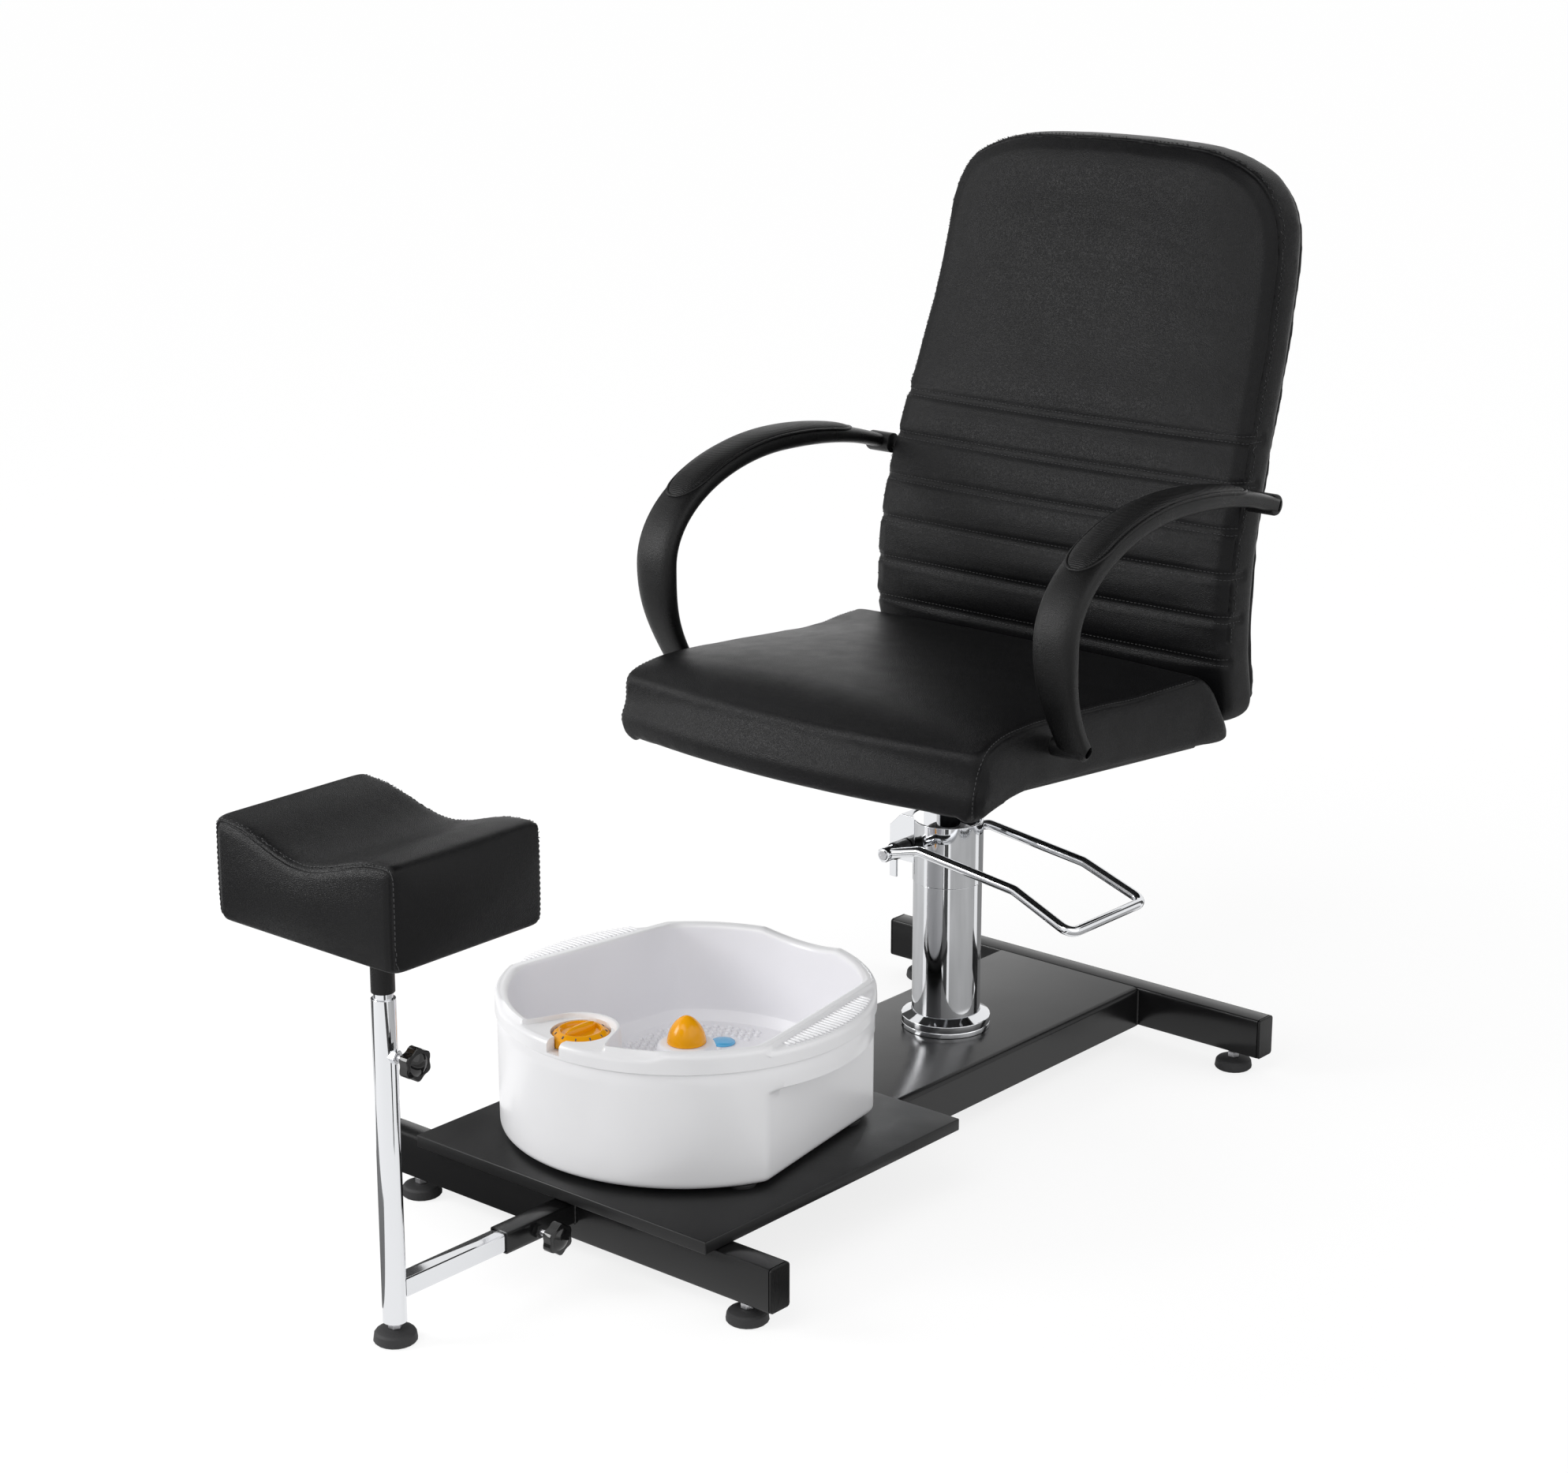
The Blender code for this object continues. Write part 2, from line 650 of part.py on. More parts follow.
def end_cap(name, y, side, body):
    """Plastic cap: a plate over the tube's end and a plug inside it."""
    middle = FLOOR_CLEARANCE + TUBE_HEIGHT / 2
    inner_face = TUBE_LENGTH / 2 + GAP
    outline = rounded_rectangle(TUBE_DEPTH, TUBE_HEIGHT, TUBE_CORNER)
    ends = sorted((side * inner_face, side * (inner_face + CAP_PLATE)))
    cap = extrusion(name, [outline], *ends, "X", (0, y, middle))
    round_edges(cap, CAP_PLATE * 0.3, 1)
    plug_outline = rounded_rectangle(TUBE_DEPTH - 2 * (TUBE_WALL + SLIDE_FIT),
                                     TUBE_HEIGHT - 2 * (TUBE_WALL + SLIDE_FIT), TUBE_CORNER - TUBE_WALL)
    ends = sorted((side * (inner_face - GAP - CAP_PLUG), side * (inner_face + CAP_PLATE / 2)))
    join(cap, extrusion(name + "_plug", [plug_outline], *ends, "X", (0, y, middle)))
    return finish_part(cap, body, "black_plastic")


def base_beam(body):
    """Folded steel channel between the cross tubes, open underneath, with rounded upper edges."""
    half = BEAM_WIDTH / 2
    inner_corner = BEAM_CORNER - BEAM_WALL
    top = TUBE_HEIGHT
    outline = [(half, 0.0)]
    outline += arc((half - BEAM_CORNER, top - BEAM_CORNER), BEAM_CORNER, 0, 90)
    outline += arc((-half + BEAM_CORNER, top - BEAM_CORNER), BEAM_CORNER, 90, 180)
    outline += [(-half, 0.0), (-half + BEAM_WALL, 0.0)]
    outline += arc((-half + BEAM_CORNER, top - BEAM_CORNER), inner_corner, 180, 90)
    outline += arc((half - BEAM_CORNER, top - BEAM_CORNER), inner_corner, 90, 0)
    outline += [(half - BEAM_WALL, 0.0)]
    start = FRONT_TUBE_Y + TUBE_DEPTH / 2 + GAP
    end = REAR_TUBE_Y - TUBE_DEPTH / 2 - GAP
    beam = extrusion("base_beam", [outline], start, end, "Y", (0, 0, FLOOR_CLEARANCE))
    return finish_part(beam, body, "black_powder_coat")


def tray_board(body):
    front = TUBE_FACE_Y - TRAY_OVERHANG
    low = (-TRAY_WIDTH / 2, front, BASE_TOP + GAP)
    high = (TRAY_WIDTH / 2, front + TRAY_LENGTH, TRAY_TOP)
    return finish_part(block("tray_board", low, high, TRAY_EDGE), body, "black_board")


def levelling_foot(name, x, y, underside, body):
    """Rubber pad, and a threaded stud with its nut that screws into the frame's underside."""
    rim = PAD_HEIGHT * 0.16
    profile = [(0, PAD_HEIGHT), (PAD_RADIUS * 0.55, PAD_HEIGHT), (PAD_RADIUS * 0.87, PAD_HEIGHT - rim),
               (PAD_RADIUS * 0.95, PAD_HEIGHT - 2 * rim), (PAD_RADIUS, rim), (PAD_RADIUS - rim, 0), (0, 0)]
    pad = turned(f"foot_pad_{name}", profile, (x, y, 0), SMALL_SIDES)
    finish_part(pad, body, "black_rubber")
    seat = PAD_HEIGHT + GAP
    nut = hexagon(f"foot_stud_{name}", NUT_FLATS, seat, seat + NUT_HEIGHT, "Z", (x, y, 0))
    thread = rod(f"foot_thread_{name}", STUD_RADIUS, seat + NUT_HEIGHT / 2, underside + STUD_REACH,
                 "Z", (x, y, 0), SCREW_SIDES)
    return finish_part(join(nut, thread), body, "zinc")


def weld_nut(tube, root, face, y, z):
    """Nut welded to a tube's +X side; it starts inside the wall, at root."""
    join(tube, hexagon(tube.name + "_nut", WELD_NUT_FLATS, root, face + WELD_NUT_HEIGHT, "X", (0, y, z)))


def screw_hole(tube, face, y, z):
    """Hole for a clamp screw through a tube's +X wall and its nut."""
    cut(tube, rod(tube.name + "_screw_hole", KNOB_SCREW_RADIUS + SLIDE_FIT, face / 2,
                  face + WELD_NUT_HEIGHT + OVERCUT, "X", (0, y, z), SCREW_SIDES))


def arm_sleeve(body):
    """Square tube on the front cross tube's face, which the footrest's arm slides in."""
    outer = rounded_rectangle(SLEEVE_SIZE, SLEEVE_SIZE, SLEEVE_WALL * 1.4)
    bore_size = SLEEVE_SIZE - 2 * SLEEVE_WALL
    inner = rounded_rectangle(bore_size, bore_size, SLEEVE_WALL / 2)
    sleeve = extrusion("arm_sleeve", [outer, inner], TUBE_FACE_Y - SLEEVE_LENGTH, TUBE_FACE_Y - GAP,
                       "Y", (0, 0, SLEEVE_HEIGHT))
    face = SLEEVE_SIZE / 2
    weld_nut(sleeve, face - SLEEVE_WALL / 2, face, SLEEVE_KNOB_Y, SLEEVE_HEIGHT)
    screw_hole(sleeve, face, SLEEVE_KNOB_Y, SLEEVE_HEIGHT)
    finish_part(sleeve, body, "black_powder_coat")


def star_knob(name, tube_half, tip, y, z, body):
    """Clamp knob with finger lobes, a domed middle and a neck, and its screw, on the +X side."""
    neck_start = tube_half + WELD_NUT_HEIGHT + KNOB_STANDOFF
    back = neck_start + KNOB_NECK
    points = []
    count = KNOB_LOBES * 6
    for step in range(count):
        angle = 2 * math.pi * (step + 0.5) / count
        radius = KNOB_RADIUS - KNOB_LOBE * (1 + math.cos(KNOB_LOBES * angle)) / 2
        points.append((radius * math.cos(angle), radius * math.sin(angle)))
    knob = extrusion(name, [points], back, back + KNOB_THICKNESS, "X", (0, y, z))
    round_edges(knob, KNOB_THICKNESS * 0.16, 1, 60)
    neck = rod(name + "_neck", KNOB_NECK_RADIUS, neck_start, back + KNOB_THICKNESS / 2, "X", (0, y, z))
    join(knob, neck)
    dome_radius = KNOB_RADIUS - 2.2 * KNOB_LOBE
    dome = turned(name + "_dome", [(0, KNOB_DOME), (dome_radius * 0.45, KNOB_DOME * 0.8),
                                   (dome_radius, KNOB_DOME * 0.1), (dome_radius, -KNOB_DOME),
                                   (0, -KNOB_DOME)],
                  (0, 0, 0), SMALL_SIDES)
    dome.matrix_world = axis_matrix("X", (back + KNOB_THICKNESS, y, z))
    finish_part(join(knob, dome), body, "gloss_black_plastic")
    screw = rod(name + "_screw", KNOB_SCREW_RADIUS, tip + GAP, neck_start - GAP, "X", (0, y, z), SCREW_SIDES)
    return finish_part(screw, body, "zinc")


# Footrest


def footrest_arm(body):
    """Square chrome tube from the pole into the sleeve."""
    outer = rounded_rectangle(ARM_BAR_SIZE, ARM_BAR_SIZE, ARM_BAR_WALL * 1.4)
    bore = ARM_BAR_SIZE - 2 * ARM_BAR_WALL
    inner = rounded_rectangle(bore, bore, ARM_BAR_WALL / 2)
    start = POLE_Y + POLE_RADIUS * 0.5
    end = TUBE_FACE_Y - SLEEVE_LENGTH + ARM_BAR_INSERT
    bar = extrusion("footrest_arm", [outer, inner], start, end, "Y", (0, 0, SLEEVE_HEIGHT))
    pole_seat = rod("footrest_arm_coping", POLE_RADIUS + GAP, 0, 2 * SLEEVE_HEIGHT, "Z", (0, POLE_Y, 0),
                    SIDES)
    return finish_part(cut(bar, pole_seat), body, "chrome")


def footrest_pole(body):
    """Round tube, open at the top for the post and closed at the foot but for the stud's hole."""
    profile = [(0, POLE_TOP), (POLE_RADIUS, POLE_TOP), (POLE_RADIUS, POLE_BOTTOM), (0, POLE_BOTTOM)]
    axis = (0, POLE_Y, 0)
    pole = turned("footrest_pole", profile, axis)
    weld_nut(pole, POLE_RADIUS / 2, POLE_RADIUS, POLE_Y, POLE_KNOB_HEIGHT)
    cut(pole, rod("footrest_pole_bore", POLE_RADIUS - POLE_WALL, POLE_BOTTOM + POLE_WEB,
                  POLE_TOP + OVERCUT, "Z", axis, SIDES))
    cut(pole, rod("footrest_pole_stud_hole", STUD_RADIUS + SLIDE_FIT, POLE_BOTTOM - OVERCUT,
                  POLE_BOTTOM + POLE_WEB + OVERCUT, "Z", axis))
    screw_hole(pole, POLE_RADIUS, POLE_Y, POLE_KNOB_HEIGHT)
    finish_part(pole, body, "chrome")


def footrest_post(body):
    """Chrome tube that slides in the pole and carries the head."""
    top = FOOTREST_PLATE_BASE - 2 * GAP
    bore = POST_RADIUS - POST_WALL
    profile = [(POST_RADIUS, top), (POST_RADIUS, POST_BOTTOM), (bore, POST_BOTTOM), (bore, top)]
    post = turned("footrest_post", profile, (0, POLE_Y, 0), SMALL_SIDES, closed=True)
    return finish_part(post, body, "chrome")


def footrest_head(body):
    """Socket tube, steel plate, plywood board and saddle cushion."""
    top = FOOTREST_PLATE_BASE - GAP
    bottom = POLE_TOP + SOCKET_LIFT
    bore = POST_RADIUS + SLIDE_FIT
    chamfer = (SOCKET_RADIUS - bore) / 3
    profile = [(SOCKET_RADIUS, top), (SOCKET_RADIUS, bottom + chamfer), (SOCKET_RADIUS - chamfer, bottom),
               (bore, bottom), (bore, top)]
    socket = turned("footrest_socket", profile, (0, POLE_Y, 0), SMALL_SIDES, closed=True)
    finish_part(socket, body, "black_plastic")

    half = FOOTREST_PLATE_SIZE / 2
    plate = block("footrest_plate", (-half, POLE_Y - half, FOOTREST_PLATE_BASE),
                  (half, POLE_Y + half, FOOTREST_PLATE_BASE + FOOTREST_PLATE), FOOTREST_PLATE / 4, 1)
    finish_part(plate, body, "black_powder_coat")

    across = FOOTREST_WIDTH / 2 - BOARD_INSET
    along = FOOTREST_DEPTH / 2 - BOARD_INSET
    board = block("footrest_board", (-across, POLE_Y - along, FOOTREST_BOARD_BASE),
                  (across, POLE_Y + along, FOOTREST_BOARD_BASE + FOOTREST_BOARD), FOOTREST_BOARD / 6, 1)
    finish_part(board, body, "plywood")

    half_x, half_y = FOOTREST_WIDTH / 2, FOOTREST_DEPTH / 2

    def shape(u, v, w):
        x, height, y = boxed(u, w, v, half_x, half_y, FOOTREST_THICKNESS, FOOTREST_CORNER, FOOTREST_EDGE)
        upper = ease((w + 1) / 2)
        waist = 1 - w * w
        valley = (1 + math.cos(math.pi * min(abs(x) / SADDLE_HALF, 1.0))) / 2
        x -= math.copysign(FOOTREST_PULL * waist * (1 - v * v) * abs(u), u)
        y -= math.copysign(FOOTREST_PULL * waist * (1 - u * u) * abs(v), v)
        return x, y, height + FOOTREST_THICKNESS / 2 - SADDLE_DIP * valley * upper

    cuts = (edge_cuts(half_x, FOOTREST_EDGE, FOOTREST_CORNER, 7),
            edge_cuts(half_y, FOOTREST_EDGE, FOOTREST_CORNER, 3),
            edge_cuts(FOOTREST_THICKNESS / 2, FOOTREST_EDGE, FOOTREST_EDGE, 2))
    place = Matrix.Translation((0, POLE_Y, FOOTREST_HEIGHT))
    finish_part(cushion("footrest_cushion", cuts, shape, place), body, "black_leather")


# Hydraulic pump


def pump(body):
    axis = (0, COLUMN_Y, 0)
    base = BASE_TOP + GAP
    neck = COVER_RADIUS + GAP
    step = base + FLANGE_STEP
    inner = FLANGE_RADIUS - FLANGE_GROOVE
    profile = [(neck, base + FLANGE_TOP), (FLANGE_RADIUS - FLANGE_GROOVE, base + FLANGE_RIM),
               (FLANGE_RADIUS, base + FLANGE_RIM - FLANGE_GROOVE), (FLANGE_RADIUS, step + FLANGE_GROOVE),
               (inner, step), (FLANGE_RADIUS, step - FLANGE_GROOVE), (FLANGE_RADIUS, base), (neck, base)]
    finish_part(turned("pump_flange", profile, axis, SIDES, closed=True), body, "chrome")

    bore = COVER_RADIUS - COVER_WALL
    profile = [(COVER_RADIUS, COVER_TOP), (COVER_RADIUS, base), (bore, base), (bore, COVER_TOP)]
    finish_part(turned("pump_cover", profile, axis, SIDES, closed=True), body, "chrome")

    bore = COLLAR_RADIUS - COLLAR_WALL
    low = COVER_TOP + GAP
    lip = COLLAR_WALL / 3
    profile = [(COLLAR_RADIUS - lip, COLLAR_TOP), (COLLAR_RADIUS, COLLAR_TOP - lip), (COLLAR_RADIUS, low),
               (bore, low), (bore, COLLAR_TOP)]
    collar = turned("pump_collar", profile, axis, SIDES, closed=True)
    half = COLLAR_WINDOW / 2
    window = block("pump_collar_window", (-COLLAR_RADIUS - OVERCUT, COLUMN_Y - half, EAR_NOTCH_TOP),
                   (-BODY_FLAT, COLUMN_Y + half, COLLAR_TOP + OVERCUT))
    finish_part(cut(collar, window), body, "chrome")

    radius = COVER_RADIUS - COVER_WALL - SLIDE_FIT
    bore = RAM_RADIUS + SLIDE_FIT
    lip = (radius - bore) / 4
    profile = [(bore + lip, BODY_TOP), (radius - lip, BODY_TOP - lip), (radius, BODY_TOP - 2 * lip),
               (radius, base), (bore, base), (bore, BODY_TOP)]
    body_casting = turned("pump_body", profile, axis, SMALL_SIDES, closed=True)
    flat = block("pump_body_flat", (-2 * COLLAR_RADIUS, COLUMN_Y - COLLAR_RADIUS, EAR_NOTCH_TOP),
                 (-BODY_FLAT, COLUMN_Y + COLLAR_RADIUS, BODY_TOP + OVERCUT))
    finish_part(cut(body_casting, flat), body, "cast_black")
    pedal_bracket(body)


def pedal_bracket(body):
    """Bent plate on the collar: two ears joined at the top, with a chamfer, a notch and a hole each."""
    outer = EAR_SPREAD + EAR_THICKNESS / 2
    inner = EAR_SPREAD - EAR_THICKNESS / 2
    bracket = block("pedal_bracket", (-EAR_REACH, COLUMN_Y - outer, EAR_BOTTOM),
                    (-BODY_FLAT + GAP, COLUMN_Y + outer, EAR_TOP))
    space = block("pedal_bracket_space", (-EAR_REACH - OVERCUT, COLUMN_Y - inner, EAR_BOTTOM - OVERCUT),
                  (OVERCUT, COLUMN_Y + inner, EAR_TOP - EAR_THICKNESS))
    cut(bracket, space)
    column = rod("pedal_bracket_seat", COLLAR_RADIUS + GAP, EAR_BOTTOM - OVERCUT, EAR_TOP + OVERCUT, "Z",
                 (0, COLUMN_Y, 0), SIDES)
    cut(bracket, column)
    notch = block("pedal_bracket_notch", (-EAR_REACH + EAR_NOTCH_WIDTH, COLUMN_Y - 2 * outer,
                                          EAR_BOTTOM - OVERCUT),
                  (OVERCUT, COLUMN_Y + 2 * outer, EAR_NOTCH_TOP))
    cut(bracket, notch)
    corner = [(0, OVERCUT), (-OVERCUT, OVERCUT), (-OVERCUT, -EAR_CHAMFER - OVERCUT), (0, -EAR_CHAMFER),
              (EAR_CHAMFER, 0)]
    chamfer = extrusion("pedal_bracket_chamfer", [corner], COLUMN_Y - 2 * outer, COLUMN_Y + 2 * outer, "Y",
                        (-EAR_REACH, 0, EAR_TOP))
    cut(bracket, chamfer)
    hole = rod("pedal_bracket_hole", AXLE_RADIUS + SLIDE_FIT, COLUMN_Y - 2 * outer, COLUMN_Y + 2 * outer, "Y",
               (-AXLE_OFFSET, 0, AXLE_HEIGHT))
    finish_part(cut(bracket, hole), body, "chrome")


def pedal(body):
    """Axle, and the bent pedal bar round the column with its two hubs on the axle's ends."""
    hub_start = PEDAL_HALF - PEDAL_HUB_LENGTH / 2
    hub_end = PEDAL_HALF + PEDAL_HUB_LENGTH / 2
    place = (-AXLE_OFFSET, 0, AXLE_HEIGHT)
    reach = hub_end + AXLE_END
    axle = rod("pedal_axle", AXLE_RADIUS, COLUMN_Y - reach, COLUMN_Y + reach, "Y", place)
    finish_part(axle, body, "zinc")

    half_end = PEDAL_HALF + PEDAL_SPREAD
    rod_points = [(-AXLE_OFFSET, PEDAL_HALF, 0.0), (PEDAL_KNEE_X, PEDAL_HALF, PEDAL_KNEE_RISE),
                  (PEDAL_ELBOW_X, PEDAL_HALF, -PEDAL_ELBOW_DROP), (PEDAL_END_X, half_end, -PEDAL_END_DROP)]
    far = [(x, COLUMN_Y + y, AXLE_HEIGHT + z) for x, y, z in rod_points]
    near = [(x, COLUMN_Y - y, AXLE_HEIGHT + z) for x, y, z in rod_points]
    bar = bent_bar("pedal_bar", rounded_path(near + far[::-1], PEDAL_BEND_RADIUS), PEDAL_ROD_RADIUS)
    for side, name in ((-1, "front"), (1, "rear")):
        ends = sorted((COLUMN_Y + side * hub_start, COLUMN_Y + side * hub_end))
        join(bar, rod(f"pedal_hub_{name}", PEDAL_HUB_RADIUS, *ends, "Y", place))
    bore = rod("pedal_bore", AXLE_RADIUS + GAP, COLUMN_Y - 2 * reach, COLUMN_Y + 2 * reach, "Y", place)
    finish_part(cut(bar, bore), body, "chrome")

    for side, name in ((-1, "front"), (1, "rear")):
        ear = EAR_SPREAD + EAR_THICKNESS / 2 + GAP
        ends = sorted((COLUMN_Y + side * ear, COLUMN_Y + side * (hub_start - GAP)))
        bush = rod(f"pedal_bush_{name}", BUSH_RADIUS, *ends, "Y", place)
        round_edges(bush, BUSH_RADIUS * 0.12, 1)
        bush_bore = rod(f"pedal_bush_bore_{name}", AXLE_RADIUS + GAP, ends[0] - OVERCUT,
                        ends[1] + OVERCUT, "Y", place)
        finish_part(cut(bush, bush_bore), body, "black_plastic")


def ram(body):
    chamfer = RAM_RADIUS * 0.12
    profile = [(0, RAM_TOP), (RAM_RADIUS - chamfer, RAM_TOP), (RAM_RADIUS, RAM_TOP - chamfer),
               (RAM_RADIUS, RAM_BOTTOM), (0, RAM_BOTTOM)]
    finish_part(turned("ram", profile, (0, COLUMN_Y, 0)), body, "chrome")


# Seat


def seat_matrix():
    return Matrix.Translation((0, COLUMN_Y, SEAT_HEIGHT)) @ Matrix.Rotation(-SEAT_TILT, 4, "X")


def tilted_block(name, half_x, front, rear, low, high, bevel):
    """Board or plate under the seat, square to the seat's own tilted frame."""
    item = block(name, (-half_x, front, low), (half_x, rear, high), bevel, 1)
    item.matrix_world = seat_matrix() @ item.matrix_world
    return item


def seat_base(body):
    """Hub on the ram, steel plate and plywood board."""
    board_base = -GAP - SEAT_BOARD
    plate_base = board_base - GAP - SEAT_PLATE
    front = -SEAT_FRONT + SEAT_LIP_DEPTH + SEAT_BOARD_INSET
    board = tilted_block("seat_board", SEAT_HALF_WIDTH - SEAT_BOARD_INSET, front,
                         SEAT_REAR - SEAT_BOARD_INSET, board_base, -GAP, SEAT_BOARD / 6)
    finish_part(board, body, "black_board")
    half = SEAT_PLATE_SIZE / 2
    plate = tilted_block("seat_plate", half, -half, half, plate_base, plate_base + SEAT_PLATE, SEAT_PLATE / 4)
    finish_part(plate, body, "black_powder_coat")

    top = SEAT_HEIGHT
    skirt_base = SEAT_HEIGHT + plate_base - HUB_SKIRT * math.tan(SEAT_TILT) - HUB_SKIRT_HEIGHT
    bore = RAM_RADIUS + SLIDE_FIT
    profile = [(0, top), (HUB_SKIRT, top), (HUB_SKIRT, skirt_base),
               (HUB_RADIUS, skirt_base - HUB_SKIRT_HEIGHT), (HUB_RADIUS, HUB_BOTTOM), (bore, HUB_BOTTOM),
               (bore, RAM_TOP + GAP), (0, RAM_TOP + GAP)]
    hub = turned("seat_hub", profile, (0, COLUMN_Y, 0))
    above = tilted_block("seat_hub_top", half, -half, half, plate_base - GAP,
                         plate_base + SEAT_PLATE_SIZE, 0.0)
    finish_part(cut(hub, above), body, "black_powder_coat")


def seat_side(y):
    """Half width of the seat at a place along it, where its side draws in between the corners."""
    middle = (SEAT_REAR - SEAT_FRONT) / 2
    along = (y - middle) / (SEAT_REAR - middle)
    return SEAT_HALF_WIDTH - SEAT_PULL * (1 - along * along)


def seat_cushion(body):
    """Crowned cushion with a bowed front edge that rolls over and down, and a slanted rear face."""
    length = SEAT_FRONT + SEAT_REAR
    half_y = length / 2

    def shape(u, v, w):
        x, height, y = boxed(u, w, v, SEAT_HALF_WIDTH, half_y, SEAT_THICKNESS, SEAT_CORNER, SEAT_EDGE)
        y += SEAT_REAR - half_y
        z = height + SEAT_THICKNESS / 2
        upper = (w + 1) / 2
        crown = (1 - u ** 4) * (1 - v ** 4)
        forward = ease((-y - SEAT_FRONT + SEAT_LIP_DEPTH) / SEAT_LIP_DEPTH)
        z += SEAT_CROWN * crown * upper
        z += SEAT_REAR_RISE * ease((y - SEAT_REAR / 3) / (SEAT_REAR / 2)) * upper
        z -= SEAT_LIP * forward * (1 - 0.55 * upper)
        x -= math.copysign((SEAT_HALF_WIDTH - seat_side(y)) * abs(u) ** 3, u)
        y -= SEAT_REAR_SLANT * upper * ease(v)
        y -= SEAT_BOW * (1 - u * u) * ease(-v)
        return x, y, z

    cuts = (edge_cuts(SEAT_HALF_WIDTH, SEAT_EDGE, SEAT_CORNER, 6),
            edge_cuts(half_y, SEAT_EDGE, SEAT_CORNER, 8),
            edge_cuts(SEAT_THICKNESS / 2, SEAT_EDGE, SEAT_EDGE, 1))
    finish_part(cushion("seat_cushion", cuts, shape, seat_matrix()), body, "black_leather")


def back_front(z):
    """Front face of the back, from the column: upright over the seat, leaning back above the waist."""
    lean = BACK_LEAN * ease((z - BACK_LEAN_FROM) / (BACK_LEAN_TO - BACK_LEAN_FROM))
    tuck = BACK_TUCK * ease((BACK_TUCK_FROM - z) / BACK_TUCK_HEIGHT)
    return BACK_SETBACK + lean + tuck


def back_half_width(z):
    return BACK_HALF_WIDTH - BACK_NARROWING * ease((z - BACK_LEAN_FROM) / (BACK_TOP - BACK_LEAN_FROM))


def channel_heights():
    return [CHANNEL_TOP - CHANNEL_PITCH * step for step in range(CHANNEL_COUNT)]


def back_plan(u, w, inset, edge, thickness, v):
    """Point of the back or its panel in plan, which narrows to the top and has an arched top edge."""
    half_height = (BACK_TOP - BACK_ARCH - BACK_BOTTOM) / 2 - inset
    corner = (BACK_CORNER if w > 0 else BACK_FOOT_CORNER) - inset / 2
    half_width = BACK_HALF_WIDTH - inset
    x, depth, rise = boxed(u, v, w, half_width, half_height, thickness, corner, edge)
    z = BACK_BOTTOM + inset + half_height + rise
    z += BACK_ARCH * (1 - u * u) * ease(w)
    x *= (back_half_width(z) - inset) / half_width
    return x, depth, z


def back_cushion(body):
    """Boxed back: a plain crowned upper panel over rolls that sewn seams divide."""
    heights = channel_heights()

    def shape(u, v, w):
        x, depth, z = back_plan(u, w, 0.0, BACK_EDGE, BACK_THICKNESS, v)
        y = back_front(z) + BACK_THICKNESS / 2 + depth
        if v < -0.9999:
            fade = ease((1 - abs(u)) * 6) * ease((1 - abs(w)) * 9)
            nearest = min(abs(z - height) for height in heights)
            groove = 1 - ease(nearest / CHANNEL_WIDTH)
            seat_clear = ease((z - BACK_BOTTOM) / (2 * BACK_TUCK_HEIGHT))
            y -= BACK_CROWN * (1 - u * u) * fade * seat_clear
            y += CHANNEL_DEPTH * groove * fade
        return x, y, z

    middle = (BACK_TOP - BACK_ARCH + BACK_BOTTOM) / 2
    half_height = (BACK_TOP - BACK_ARCH - BACK_BOTTOM) / 2
    rows = []
    for height in heights:
        for offset in (-CHANNEL_WIDTH, 0.0, CHANNEL_WIDTH):
            rows.append((height + offset - middle) / half_height)
    first = rows[2]
    top = 1 - BACK_CORNER / half_height
    rows += [first + (top - first) * step / 5 for step in range(1, 5)]
    for reach in (BACK_EDGE / 2, BACK_EDGE, BACK_CORNER * 0.4, BACK_CORNER * 0.7, BACK_CORNER):
        rows.append(1 - reach / half_height)
    for reach in (BACK_EDGE / 2, BACK_EDGE):
        rows.append(reach / half_height - 1)
    cuts = (edge_cuts(BACK_HALF_WIDTH, BACK_EDGE, BACK_CORNER, 3), [-0.7, -0.42, 0.42, 0.7], sorted(rows))
    place = Matrix.Translation((0, COLUMN_Y, SEAT_HEIGHT))
    finish_part(cushion("back_cushion", cuts, shape, place), body, "black_leather")


def back_panel(body):
    """Upholstered plywood panel behind the back cushion, bent to the same line."""

    def shape(u, v, w):
        x, depth, z = back_plan(u, w, PANEL_INSET, PANEL_EDGE, PANEL_THICKNESS, v)
        y = back_front(z) + BACK_THICKNESS + PANEL_SEAT + PANEL_THICKNESS / 2 + depth
        return x, y, z

    half_height = (BACK_TOP - BACK_ARCH - BACK_BOTTOM) / 2 - PANEL_INSET
    rows = even_cuts(22) + [1 - PANEL_EDGE / half_height, PANEL_EDGE / half_height - 1]
    half_width = BACK_HALF_WIDTH - PANEL_INSET
    outer = [1 - reach / half_width for reach in (BACK_CORNER, BACK_CORNER * 0.4, PANEL_EDGE)]
    columns = [-place for place in reversed(outer)] + outer
    place = Matrix.Translation((0, COLUMN_Y, SEAT_HEIGHT))
    panel = cushion("back_panel", (columns, [], sorted(rows)), shape, place)
    finish_part(panel, body, "black_leather")


# Loop arms


